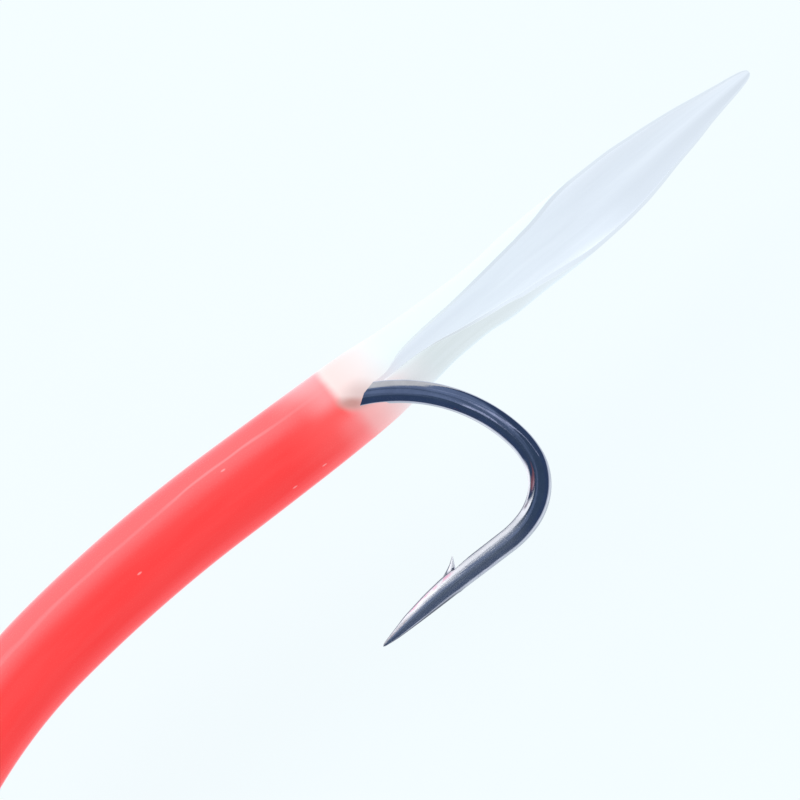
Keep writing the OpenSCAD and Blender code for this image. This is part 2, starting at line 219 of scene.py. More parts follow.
def lips(x):
    """Angles of the far and near lips from the opening's middle, in degrees."""
    if x <= CUT_AT:
        a = math.degrees(math.asin((drift(x) - 0.14)/half_w(x)))
        return a, a
    w, c = half_w(x), -drift(x)
    far = -far_late(x) if x > 20.5 else math.degrees(math.asin(np.clip((far_lip(x) - c)/w, -1, 1)))
    near = near_late(x) if x > 17.9 else math.degrees(math.asin(np.clip((near_lip(x) - c)/w, -1, 1)))
    return far, near


def soft_tube():
    n = 84
    xs = list(np.arange(HEAD_START - S4 + 0.35, -3.0, 0.8)) + list(np.arange(-3.0, 0.9, 0.25))
    xs += list(np.arange(0.9, 5.0, 0.1)) + list(np.arange(5.0, 17.4, 0.3)) + list(np.arange(17.4, 19.6, 0.1))
    xs += list(np.arange(19.7, 22.8, 0.3)) + list(np.arange(22.8, 27.6, 0.15)) + list(np.arange(27.7, 43.0, 0.35))
    xs += list(np.arange(43.0, 45.2, 0.15)) + [45.2, 45.35, 45.45, 45.53, 45.58, 45.6]
    x_head = HEAD_START - S4

    known = []

    def row(x, at, shrink, inner):
        """One section: shape taken at x, placed at station `at`."""
        w, dr = half_w(x), depth_r(x)
        z0 = dr - bottom_r(x)
        if inner:
            t = wall_t(x)
            w, dr = w - min(side_t(x), 0.35*w), dr - t
        w, dr = w - shrink, dr - shrink
        q = spine(S4 + at)
        _, c, d = axes_at(q[2])
        base = np.array([q[0], q[1], 0.0])
        far, near = lips(x)
        out = []
        for a in near + (360 + far - near)*np.arange(n+1)/n:
            r = math.radians(a)
            out.append(base + (-drift(x) + w*math.sin(r))*d + (z0 + dr*math.cos(r))*c)
            known.append((tuple(out[-1]), x, math.sin(r), math.cos(r), 1.0 if inner else 0.0))
        return out

    quarter = [math.pi/2*k/4 for k in range(5)]
    grid_o = [row(x_head, x_head, 0.25, False)] + [row(x_head, x_head + 0.25*(1 - math.cos(b)), 0.25*(1 - math.sin(b)), False) for b in quarter[1:]]
    grid_i = [row(x_head, x_head, -0.2, True)] + [row(x_head, x_head + 0.2*(1 - math.cos(b)), -0.2*(1 - math.sin(b)), True) for b in quarter[1:]]
    lead = len(grid_o)
    for x in xs:
        grid_o.append(row(x, x, 0.0, False))
        grid_i.append(row(x, x, 0.0, True))
    verts = np.array([v for r in grid_o + grid_i for v in r])
    m = n + 1
    count = len(grid_o)
    off = count*m
    faces = []
    for i in range(count-1):
        for j in range(n):
            faces.append((i*m+j, (i+1)*m+j, (i+1)*m+j+1, i*m+j+1))
            faces.append((off+i*m+j, off+i*m+j+1, off+(i+1)*m+j+1, off+(i+1)*m+j))
    for j in range(n):
        faces.append((j, j+1, off+j+1, off+j))                       # lip of the open head
        e = (count-1)*m
        faces.append((e+j, off+e+j, off+e+j+1, e+j+1))               # edge of the tip
    for a in range(len(xs)-1):
        if xs[a+1] > CUT_AT + 1e-6:                                  # cut faces along both lips
            i = lead + a
            faces.append((i*m, off+i*m, off+(i+1)*m, (i+1)*m))
            faces.append((i*m+n, (i+1)*m+n, off+(i+1)*m+n, off+i*m+n))
    me = bpy.data.meshes.new("soft_tube")
    me.from_pydata([tuple(v) for v in verts*MM], [], faces)
    ob = bpy.data.objects.new("soft_tube", me)
    bpy.context.scene.collection.objects.link(ob)
    finish_mesh(ob, 38, merge=2e-6)
    return ob, known


def tube_coordinates(ob, known):
    """Stores, for the material, where each point lies: along the tube, round it, and how deep in the wall."""
    tree = KDTree(len(known))
    for i, k in enumerate(known):
        tree.insert(k[0], i)
    tree.balance()
    count = len(ob.data.vertices)
    ss = np.arange(HEAD_START - 0.5, S4 + 46.5, 0.1)
    q = np.array([spine(v) for v in ss])
    x, sn, cs, inner = (np.zeros(count, np.float32) for _ in range(4))
    for i, v in enumerate(ob.data.vertices):
        co = np.array(v.co, float)/MM
        _, k, gap = tree.find(tuple(co))
        if gap < 0.006:
            x[i], sn[i], cs[i], inner[i] = known[k][1:]
            continue
        b = int(((q[:, 0] - co[0])**2 + (q[:, 1] - co[1])**2).argmin())
        t, c, d = axes_at(q[b, 2])
        rel = co - np.array([q[b, 0], q[b, 1], 0.0])
        xx = ss[b] - S4 + rel @ t
        w, dr = half_w(xx), depth_r(xx)
        across, up = rel @ d + drift(xx), rel @ c - (dr - bottom_r(xx))
        t_in = min(side_t(xx), 0.35*w)
        out = 1 - math.hypot(across/w, up/dr)
        inn = math.hypot(across/(w - t_in), up/(dr - wall_t(xx))) - 1
        a = math.atan2(across/w, up/dr)
        x[i], sn[i], cs[i] = xx, math.sin(a), math.cos(a)
        inner[i] = min(max(out, 0)/max(max(out, 0) + max(inn, 0), 1e-6), 1)
    for nm, val in (("tube_x", x), ("tube_sin", sn), ("tube_cos", cs), ("tube_inner", inner)):
        ob.data.attributes.new(nm, "FLOAT", "POINT").data.foreach_set("value", val)


# ------------------------------------------------------------------ hook
EYE_BACK, EYE_U = 32.5, 1.33
RISE = math.radians(3.06)
SKEW = math.radians(5)
WR = 1.0
POINT_LEN = 14.05


def hook_line(step=0.25):
    """Centre line as rows of along, across, heading, length; then the start of the point."""
    segs = [(25.28, None, 0), (None, 16.3, 86.2), (None, 8.9, 14.9), (None, 5.2, 67.5), (None, 8.2, 16.9), (POINT_LEN, None, 0)]
    x, y, h, s = 0.0, 0.0, -SKEW, 0.0
    rows = [(x, y, h, s)]
    starts = []
    for length, r, deg in segs:
        starts.append(s)
        total = length if r is None else r*math.radians(deg)
        k = max(2, int(round(total/step)))
        if r is not None:
            k = max(k, int(deg/1.6))
        if length == POINT_LEN:
            k = 90
        x0, y0, h0, s0 = x, y, h, s
        for i in range(1, k+1):
            t = total*i/k
            if r is None:
                x, y, h = x0 + t*math.cos(h0), y0 + t*math.sin(h0), h0
            else:
                h = h0 + t/r
                x = x0 + r*(math.sin(h) - math.sin(h0))
                y = y0 - r*(math.cos(h) - math.cos(h0))
            s = s0 + t
            rows.append((x, y, h, s))
    return rows, starts


def hook_place(x, y, z):
    """From the hook's own plane (along, across towards the point, up) to the row frame."""
    hx = x*math.cos(RISE) - z*math.sin(RISE)
    hz = z*math.cos(RISE) + x*math.sin(RISE)
    return P4 + (hx - EYE_BACK)*T4 + (y + EYE_U)*SIDE4 + np.array([0, 0, hz])


def hook_ring_points(row, a_in, a_out, b, expo, m=48, clip=9.0):
    """Section reaching a_in towards the inside of the bend and a_out away from it, half as thick as b;
    clip cuts its inner side flat."""
    x, y, h, s = row
    mid, half = (a_in - a_out)/2, (a_in + a_out)/2
    pts = []
    for j in range(m):
        w = 2*math.pi*j/m
        cw, sw = math.cos(w), math.sin(w)
        u = min(mid + half*math.copysign(abs(cw)**(2/expo), cw), clip)
        pts.append(hook_place(x - math.sin(h)*u, y + math.cos(h)*u, math.copysign(abs(sw)**(2/expo), sw)*b))
    return pts


def hook():
    rows, st = hook_line()
    s_point = st[5]
    s_bend = st[1] + 9
    inner_edge = curve_fn([(0, 1.0), (5.2, 0.99), (6.48, 0.95), (7.3, 0.87), (8.44, 0.74), (9.73, 0.52), (11.01, 0.29), (12.29, -0.07),
                           (13.2, -0.31), (13.68, -0.45), (13.97, -0.58), (14.05, -0.66)])
    outer_edge = curve_fn([(0, 1.0), (3.0, 0.98), (5.5, 0.96), (5.85, 0.99), (6.2, 0.95), (9.7, 0.96), (12.3, 0.93), (13.65, 0.82), (13.97, 0.76), (14.05, 0.71)])
    half_t = curve_fn([(0, 0.9), (5.1, 0.92), (7.1, 0.9), (9.6, 0.74), (11.6, 0.5), (13.1, 0.27), (13.85, 0.09), (14.05, 0.02)])
    rings = []
    for row in rows:
        s = row[3]
        if s < 1.2:
            continue
        l = s - s_point
        flat = float(smooth(s_bend - 6, s_bend + 6, s))
        if l <= 0:
            rings.append(hook_ring_points(row, WR, WR, 1.0 - 0.1*flat, 2.0 + 0.35*flat))
        else:
            cut = 1.0 - 0.36*(l - 2.7)/2.53 if 2.7 < l < 5.24 else 9.0
            rings.append(hook_ring_points(row, inner_edge(l), outer_edge(l), half_t(l), 2.35 - 0.3*min(1, l/10), clip=cut))
    body = loft("hook", rings, smooth_angle=50)
    # barb: a curved sliver raised from the inner face of the point, its root set in the wire
    x5, y5, h5, s5 = [r for r in rows if abs(r[3] - s_point) < 1e-6][0]

    def at(l, v, z):
        return hook_place(x5 + l*math.cos(h5) - v*math.sin(h5), y5 + l*math.sin(h5) + v*math.cos(h5), z)
    brs = []
    for v, back, front, hz in [(0.2, 5.5, 7.9, 0.8), (0.5, 5.3, 7.3, 0.84), (0.8, 5.15, 6.72, 0.76), (1.0, 5.06, 6.28, 0.66), (1.25, 4.95, 5.74, 0.52),
                               (1.5, 4.84, 5.28, 0.38), (1.75, 4.73, 4.96, 0.24), (1.9, 4.665, 4.79, 0.13), (1.99, 4.62, 4.665, 0.04)]:
        ring = []
        for j in range(24):
            w = 2*math.pi*j/24
            k = math.cos(w)
            ring.append(at((front + back)/2 + (front - back)/2*k, v + 0.05*k, hz*math.sin(w)*(0.72 - 0.28*k)))
        brs.append(ring)
    barb = loft("barb", brs, smooth_angle=50)
    # ring eye, square to the plane of the bend
    pts, faces = [], []
    er, ew, na, nb = 1.75, 0.8, 64, 28
    for i in range(na):
        a = 2*math.pi*i/na
        for j in range(nb):
            b = 2*math.pi*j/nb
            r = er + ew*math.cos(b)
            lx, lz, ly = -r*math.cos(a), r*math.sin(a), ew*math.sin(b)
            pts.append(hook_place(lx*math.cos(SKEW) + ly*math.sin(SKEW), -lx*math.sin(SKEW) + ly*math.cos(SKEW), lz))
            faces.append((i*nb+j, ((i+1) % na)*nb+j, ((i+1) % na)*nb+(j+1) % nb, i*nb+(j+1) % nb))
    eye = add_mesh("eye", pts, faces)
    boolean(body, barb, "UNION")
    boolean(body, eye, "UNION")
    finish_mesh(body, 42, merge=1e-7)
    return body


def hook_cutter():
    rows, st = hook_line()
    rings = [hook_ring_points(r, WR + 0.04, WR + 0.04, WR + 0.04, 2.0, 40) for r in rows if 30.5 < r[3] < 47]
    return loft("cutter", rings)


def slot_cutter():
    """Opens the wall over the wire where it comes out: the wire's own outline carried outwards, from a slanted edge."""
    rows = [r for r in hook_line()[0] if 28 < r[3] < 50]
    r = WR + 0.03
    rings = []
    for x, y, h, _ in rows:
        o = hook_place(x, y, 0.0)
        along = hook_place(x + math.cos(h), y + math.sin(h), 0.0) - o
        e = np.cross(C4, along)
        e /= np.linalg.norm(e)
        f = np.cross(along, e)
        tuck = 1 - 0.17*float(smooth(6.0, 2.5, (o - P4) @ T4))
        ring = [o + r*(math.cos(w)*(tuck if math.cos(w) < 0 else 1.0)*e + math.sin(w)*f) for w in np.linspace(math.pi, 2*math.pi, 21)]
        rings.append(ring + [o + r*e + 3.2*C4, o - r*tuck*e + 3.2*C4])
    cutter = loft("slot_cutter", rings)
    a, m, b = np.array([1.12, 0.66]), np.array([1.88, 0.12]), np.array([3.17, -0.2])
    out = unit3([0.86, 2.05])
    corners = [a + 8*unit3(a - m), m, b + 8*unit3(b - m), b + 8*unit3(b - m) + 14*out, a + 8*unit3(a - m) + 14*out]
    box = [[P4 + v[0]*T4 + v[1]*D4 + z*C4 for v in corners] for z in (-6.0, 9.0)]
    boolean(cutter, loft("slot_box", box), "INTERSECT")
    return cutter


# ------------------------------------------------------------------ leader, crimps, sinker, bead, swivel
LEAD_Y, WIRE_R = 0.47, 0.4
CRIMP_X, CRIMP_LEN = 21.0, 6.0
REAR_RING_X, RING_R, RING_WIRE = 13.2, 1.75, 0.5
FRONT_HUB, FRONT_BEND = np.array([REAR_RING_X + RING_R, 0.0]), RING_WIRE + WIRE_R + 0.1


def turn2(v, a):
    return np.array([v[0]*math.cos(a) - v[1]*math.sin(a), v[0]*math.sin(a) + v[1]*math.cos(a)])


REAR_HUB = P4[:2] + turn2((-EYE_BACK - 1.75*math.cos(SKEW), -EYE_U - 1.75*math.sin(SKEW)), Q4[2])
REAR_BEND = 0.8 + WIRE_R + 0.1
REAR_START = np.array(spine(57.0)[:2])
REAR_DIR = (REAR_HUB - REAR_START)/np.linalg.norm(REAR_HUB - REAR_START)
REAR_SIDE = np.array([-REAR_DIR[1], REAR_DIR[0]])
REAR_END = REAR_START + CRIMP_LEN*REAR_DIR


def leader_line():
    def bend(p, u, q, v, n):
        out = []
        for i in range(1, n+1):
            t = i/n
            out.append((2*t**3 - 3*t*t + 1)*np.array(p) + (t**3 - 2*t*t + t)*np.array(u)
                       + (3*t*t - 2*t**3)*np.array(q) + (t**3 - t*t)*np.array(v))
        return out

    def straight(p, q, n):
        return [np.array(p) + (np.array(q) - np.array(p))*i/n for i in range(1, n+1)]
    x0, fx = CRIMP_X + 0.3, FRONT_HUB[0]
    out = spine(51.0)
    oh = np.array([math.cos(out[2]), math.sin(out[2])])
    pts = [np.array([CRIMP_X + CRIMP_LEN + 0.5, LEAD_Y])]
    pts += straight(pts[0], (x0, LEAD_Y), 24)
    pts += bend((x0, LEAD_Y), (-5, 0), (fx, FRONT_BEND), (-5, 0), 28)
    pts += [FRONT_HUB + FRONT_BEND*np.array([-math.sin(math.pi*i/32), math.cos(math.pi*i/32)]) for i in range(1, 33)]
    pts += bend((fx, -FRONT_BEND), (5, 0), (x0, -LEAD_Y), (5, 0), 28)
    pts += straight((x0, -LEAD_Y), (CRIMP_X + CRIMP_LEN, -LEAD_Y), 22)
    pts += bend((CRIMP_X + CRIMP_LEN, -LEAD_Y), (3, 0), (30.2, 0), (3, 0), 14)
    pts += straight((30.2, 0), (S1, 0), 60)
    pts += [np.array(spine(S1 + 4.5*i/18)[:2]) for i in range(1, 19)]
    pts += bend(out[:2], 5*oh, REAR_START - LEAD_Y*REAR_SIDE, 5*REAR_DIR, 24)
    e = REAR_END - 0.3*REAR_DIR
    pts += straight(REAR_START - LEAD_Y*REAR_SIDE, e - LEAD_Y*REAR_SIDE, 22)
    pts += bend(e - LEAD_Y*REAR_SIDE, 5*REAR_DIR, REAR_HUB - REAR_BEND*REAR_SIDE, 5*REAR_DIR, 24)
    pts += [REAR_HUB + REAR_BEND*(REAR_DIR*math.sin(math.pi*i/40) - REAR_SIDE*math.cos(math.pi*i/40)) for i in range(1, 41)]
    pts += bend(REAR_HUB + REAR_BEND*REAR_SIDE, -5*REAR_DIR, e + LEAD_Y*REAR_SIDE, -5*REAR_DIR, 24)
    pts += straight(e + LEAD_Y*REAR_SIDE, REAR_START - 0.5*REAR_DIR + LEAD_Y*REAR_SIDE, 24)
    return np.array(pts)


def leader():
    """Cable of six wires laid round a seventh, following the leader's path."""
    raw = leader_line()
    d = np.concatenate([[0], np.cumsum(np.linalg.norm(np.diff(raw, axis=0), axis=1))])
    s = np.arange(0, d[-1], 0.2)
    path = np.stack([np.interp(s, d, raw[:, 0]), np.interp(s, d, raw[:, 1])], 1)
    for _ in range(2):
        path[1:-1] = path[1:-1]*0.5 + (path[:-2] + path[2:])*0.25
    tan = np.gradient(path, axis=0)
    tan /= np.linalg.norm(tan, axis=1)[:, None]
    verts, faces = [], []
    r_s, r_h, pitch, m = 0.132, 0.262, 5.2, 10
    for k in range(7):
        base = len(verts)
        for i, p in enumerate(path):
            side = np.array([-tan[i, 1], tan[i, 0], 0])
            up = np.array([0, 0, 1.0])
            a = 2*math.pi*(s[i]/pitch + k/6)
            c = np.array([p[0], p[1], 0.0]) + (0 if k == 6 else r_h)*(math.cos(a)*side + math.sin(a)*up)
            for j in range(m):
                b = 2*math.pi*j/m
                verts.append(c + r_s*(math.cos(b)*side + math.sin(b)*up))
        n = len(path)
        for i in range(n-1):
            for j in range(m):
                w = (j+1) % m
                faces.append((base+i*m+j, base+(i+1)*m+j, base+(i+1)*m+w, base+i*m+w))
        faces.append(tuple(base+j for j in range(m)))
        faces.append(tuple(base+(n-1)*m+j for j in reversed(range(m))))
    return add_mesh("leader_cable", verts, faces, 60)


def crimp(name, start, direction, presses):
    """Twin-bore sleeve pressed flat across its middle line in a few places."""
    u = np.array([direction[0], direction[1], 0.0])
    side = np.array([-u[1], u[0], 0.0])
    up = np.array([0, 0, 1.0])
    o = np.array([start[0], start[1], 0.0])
    rings = []
    m = 64
    stations = [0.0, 0.03, 0.1] + list(np.arange(0.25, CRIMP_LEN - 0.2, 0.12)) + [CRIMP_LEN - 0.1, CRIMP_LEN - 0.03, CRIMP_LEN]
    for x in stations:
        edge = min(x, CRIMP_LEN - x)
        shrink = 0.1*(1 - math.sqrt(max(0.0, 1 - (1 - min(edge, 0.1)/0.1)**2))) if edge < 0.1 else 0.0
        dent = sum(math.exp(-((x - c)/0.34)**4) for c in presses)
        ring = []
        for j in range(m):
            w = 2*math.pi*j/m
            cw, sw = math.cos(w), math.sin(w)
            # two circles joined by flats
            y = 0.95*cw + math.copysign(0.47*min(1.0, abs(cw)*3), cw)
            z = 0.95*sw
            z *= 1 - 0.17*dent*(1 - 0.35*abs(cw))
            y *= 1 + 0.02*dent
            k = 1 - shrink/0.95
            ring.append(o + x*u + y*k*side + z*k*up)
        rings.append(ring)
    ob = loft(name, rings, smooth_angle=35)
    for sgn in (-1, 1):
        bore = []
        for x in (-0.5, CRIMP_LEN + 0.5):
            bore.append([o + x*u + (sgn*LEAD_Y + 0.44*math.cos(2*math.pi*j/32))*side + 0.44*math.sin(2*math.pi*j/32)*up for j in range(32)])
        boolean(ob, loft("bore", bore), "DIFFERENCE")
    finish_mesh(ob, 35, merge=1e-7)
    return ob


def sinker():
    d, ln, x0, bore = 6.2, 14.0, 32.4, 0.75
    rng = np.random.default_rng(7)
    hits = [(rng.uniform(0, 2*math.pi), rng.uniform(1.5, 12.5), rng.uniform(0.25, 0.7), rng.uniform(0.02, 0.07)) for _ in range(34)]
    na, nx = 112, 90
    verts, faces = [], []
    prof = []
    for i in range(nx+1):
        t = i/nx
        x = ln/2*(1 - math.cos(math.pi*t))
        r = 0.35 + (d/2 - 0.4)*math.sin(math.pi*t)**0.8 if 0 < t < 1 else 0.0
        prof.append((x, r))
    prof = [(x, r) for x, r in prof if r > bore + 0.1]
    ends = [(prof[0][0] - 0.03, bore + 0.04), (prof[0][0] - 0.035, bore + 0.12)], [(prof[-1][0] + 0.035, bore + 0.12), (prof[-1][0] + 0.03, bore + 0.04)]
    inner = [(prof[-1][0] - 0.1, bore)] + [(x, bore) for x in (11, 9, 7, 5, 3)] + [(prof[0][0] + 0.1, bore)]
    loop = ends[0] + prof + ends[1] + inner
    k0, k1 = len(ends[0]), len(ends[0]) + len(prof)
    n = len(loop)
    for j in range(na):
        a = 2*math.pi*j/na
        for i, (x, r) in enumerate(loop):
            if k0 <= i < k1:
                seam = math.exp(-((math.sin(a)*r)/0.11)**2)
                r = r + 0.055*seam*min(1, (r - 0.8)/1.2)
                for ha, hx, hr, hd in hits:
                    da = (a - ha + math.pi) % (2*math.pi) - math.pi
                    q = ((da*r)**2 + (x - hx)**2)/(hr*hr)
                    if q < 6:
                        r -= hd*math.exp(-q)
            verts.append((x0 + x, r*math.cos(a), r*math.sin(a)))
    for j in range(na):
        k = (j+1) % na
        for i in range(n):
            w = (i+1) % n
            faces.append((j*n+i, j*n+w, k*n+w, k*n+i))
    return add_mesh("egg_sinker_lead", verts, faces, 50)


def rounded(profile, r, steps=4):
    """Rounds the corners of a closed outline; r is one radius, or one for each corner."""
    out = []
    n = len(profile)
    for i in range(n):
        p0, p1, p2 = (np.array(profile[(i+k-1) % n], float) for k in range(3))
        rr = r if isinstance(r, (int, float)) else r[i]
        a, b = p0 - p1, p2 - p1
        la, lb = np.linalg.norm(a), np.linalg.norm(b)
        k = min(rr, 0.45*la, 0.45*lb)
        if k < 1e-6:
            out.append(tuple(p1))
            continue
        a, b = p1 + a/la*k, p1 + b/lb*k
        for j in range(steps+1):
            t = j/steps
            out.append(tuple((1-t)**2*a + 2*t*(1-t)*p1 + t*t*b))
    return out


def bead():
    c, r, h, bore = 32.4 - 0.2 - 1.8, 2.5, 1.8, 0.7
    arc = [(r*math.sin(a), r*math.cos(a)) for a in np.linspace(-math.asin(h/r), math.asin(h/r), 33)]
    prof = rounded([(-h, bore)] + arc + [(h, bore)], [0.15] + [0.0] + [0.0]*31 + [0.0] + [0.15], 5)
    return lathe_mm("stop_bead_red", prof, (c, 0, 0), (1, 0, 0), 96)


def lathe_mm(name, profile, origin, axis, seg=96, smooth_angle=35, shape=None):
    """Turns a closed outline [(distance along the axis, radius)] round the axis; shape(i, angle, r) may change radii."""
    ax = np.array(axis, float)
    ref = np.array([0, 0, 1.0]) if abs(ax[2]) < 0.9 else np.array([1.0, 0, 0])
    u = np.cross(ax, ref)
    u /= np.linalg.norm(u)
    v = np.cross(ax, u)
    o = np.array(origin, float)
    n = len(profile)
    verts, faces = [], []
    for j in range(seg):
        a = 2*math.pi*j/seg
        for i, (x, r) in enumerate(profile):
            if shape:
                r = shape(x, a, r)
            verts.append(o + ax*x + (u*math.cos(a) + v*math.sin(a))*r)
    for j in range(seg):
        k = (j+1) % seg
        for i in range(n):
            w = (i+1) % n
            faces.append((j*n+i, j*n+w, k*n+w, k*n+i))
    ob = add_mesh(name, verts, faces, smooth_angle)
    finish_mesh(ob, smooth_angle, merge=1e-8)
    return ob


def barrel():
    r, ln = 2.0, 6.4
    half = [(0, 1.12), (0.02, 1.16), (0.34, 1.46), (0.5, 1.5), (0.62, 1.47), (0.72, 1.47), (0.84, 1.52), (1.28, 1.9), (1.6, 2.0), (2.3, 2.0)]
    outer = half + [(ln - x, y) for x, y in reversed(half)]
    prof = outer + [(ln, 0.6), (ln - 1.3, 0.6), (ln - 1.3, 1.3), (1.3, 1.3), (1.3, 0.6), (0, 0.6)]
    prof = rounded(prof, 0.12, 3)

    def pressed(x, a, rr):
        # six shallow press marks on each cone where the ends were closed in
        if rr < 1.35:
            return rr
        e = min(abs(x - 0.95), abs(ln - x - 0.95))
        return rr - 0.035*math.exp(-(e/0.3)**2)*(0.5 + 0.5*math.cos(6*a))
    return lathe_mm("swivel_barrel_body", prof, (3.4, 0, 0), (1, 0, 0), 120, 40, pressed)


def swivel_ring(name, centre, toward, normal, head_from, head_to):
    """Round ring, its stem and the upset head that turns in the barrel."""
    c, t, nrm = np.array(centre, float), np.array(toward, float), np.array(normal, float)
    w = np.cross(nrm, t)
    pts, faces = [], []
    na, nb = 96, 32
    for i in range(na):
        a = 2*math.pi*i/na
        rad = t*math.cos(a) + w*math.sin(a)
        for j in range(nb):
            b = 2*math.pi*j/nb
            r = RING_R + RING_WIRE*math.cos(b)
            pts.append(c + rad*r + nrm*RING_WIRE*math.sin(b))
            faces.append((i*nb+j, ((i+1) % na)*nb+j, ((i+1) % na)*nb+(j+1) % nb, i*nb+(j+1) % nb))
    ring = add_mesh(name, pts, faces)
    x0 = RING_R + 0.1
    stem = [(x0, 0.0), (x0, 0.5), (x0 + 0.3, 0.66), (x0 + 0.55, 0.58), (x0 + 0.8, 0.55), (head_from, 0.55), (head_from, 1.1), (head_to, 1.1), (head_to, 0.0)]
    stem = rounded(stem, [0, 0, 0.1, 0.1, 0.1, 0.05, 0.12, 0.12, 0], 3)
    seg = 48
    rings = []
    for x, r in stem:
        rings.append([c + t*x + (w*math.cos(2*math.pi*j/seg) + nrm*math.sin(2*math.pi*j/seg))*max(r, 1e-3) for j in range(seg)])
    boolean(ring, loft("stem", rings), "UNION")
    finish_mesh(ring, 35, merge=1e-8)
    return ring


# ------------------------------------------------------------------ view
A_DIR = np.array([T4[0], T4[1], 0.0])
U_DIR = SIDE4
C68, S68 = math.cos(math.radians(68)), math.sin(math.radians(68))
BACK = C68*U_DIR + S68*np.array([0, 0, 1.0])
P_DIR = S68*U_DIR - C68*np.array([0, 0, 1.0])
RIGHT = 0.7986*A_DIR + 0.6018*P_DIR
UP = 0.6018*A_DIR - 0.7986*P_DIR
PX = 0.087                              # millimetres to a pixel at the object
FLOOR_Z = -22.0                         # low enough for the tail and the swivel to swing down


# ------------------------------------------------------------------ material helper
class Graph:
    def __init__(self, name, world=False):
        if world:
            self.owner = bpy.data.worlds.new(name)
        else:
            self.owner = bpy.data.materials.new(name)
        self.owner.use_nodes = True
        self.t = self.owner.node_tree
        self.t.nodes.clear()
        self.out = self.t.nodes.new("ShaderNodeOutputWorld" if world else "ShaderNodeOutputMaterial")

    def n(self, kind, props=None, ins=None):
        nd = self.t.nodes.new(kind)
        for k, v in (props or {}).items():
            setattr(nd, k, v)
        for k, v in (ins or {}).items():
            if isinstance(v, bpy.types.NodeSocket):
                self.t.links.new(v, nd.inputs[k])
            else:
                nd.inputs[k].default_value = v
        return nd

    def m(self, op, a, b=0.0, c=0.0, clamp=False):
        return self.n("ShaderNodeMath", {"operation": op, "use_clamp": clamp}, {0: a, 1: b, 2: c}).outputs[0]

    def step(self, v, a, b, lo=0.0, hi=1.0):
        """Smooth step of v from a to b."""
        return self.n("ShaderNodeMapRange", {"interpolation_type": "SMOOTHSTEP"},
                      {"Value": v, "From Min": a, "From Max": b, "To Min": lo, "To Max": hi}).outputs[0]

    def band(self, v, a, b, c, d):
        """0 outside a..d, 1 inside b..c."""
        return self.m("MULTIPLY", self.step(v, a, b), self.step(v, c, d, 1.0, 0.0))

    def mix(self, f, a, b, blend="MIX"):
        def col(v):
            return v if isinstance(v, bpy.types.NodeSocket) else (tuple(v) + (1.0,))[:4]
        return self.n("ShaderNodeMix", {"data_type": "RGBA", "blend_type": blend}, {0: f, 6: col(a), 7: col(b)}).outputs[2]

    def attr(self, name):
        return self.n("ShaderNodeAttribute", {"attribute_name": name}).outputs["Fac"]

    def vec(self, x, y, z):
        return self.n("ShaderNodeCombineXYZ", None, {0: x, 1: y, 2: z}).outputs[0]

    def noise(self, vector, scale, detail=3.0, rough=0.5, distortion=0.0):
        return self.n("ShaderNodeTexNoise", {"noise_dimensions": "3D"},
                      {"Vector": vector, "Scale": scale, "Detail": detail, "Roughness": rough, "Distortion": distortion}).outputs["Fac"]

    def dot(self, v, d):
        return self.n("ShaderNodeVectorMath", {"operation": "DOT_PRODUCT"}, {0: v, 1: tuple(float(k) for k in d)}).outputs["Value"]

    def bump(self, height, strength, distance, normal=None):
        ins = {"Strength": strength, "Distance": distance, "Height": height}
        if normal is not None:
            ins["Normal"] = normal
        return self.n("ShaderNodeBump", None, ins).outputs[0]

    def surface(self, **ins):
        nd = self.n("ShaderNodeBsdfPrincipled", None, {k.replace("_", " "): v for k, v in ins.items()})
        self.t.links.new(nd.outputs[0], self.out.inputs[0])
        return nd

    def object_coord(self):
        return self.n("ShaderNodeTexCoord").outputs["Object"]


def lin(r, g, b):
    """Screen colour 0..255 to scene linear."""
    return tuple((c/255/12.92 if c/255 <= 0.04045 else ((c/255 + 0.055)/1.055)**2.4) for c in (r, g, b))


BACKDROP = lin(243, 252, 255)


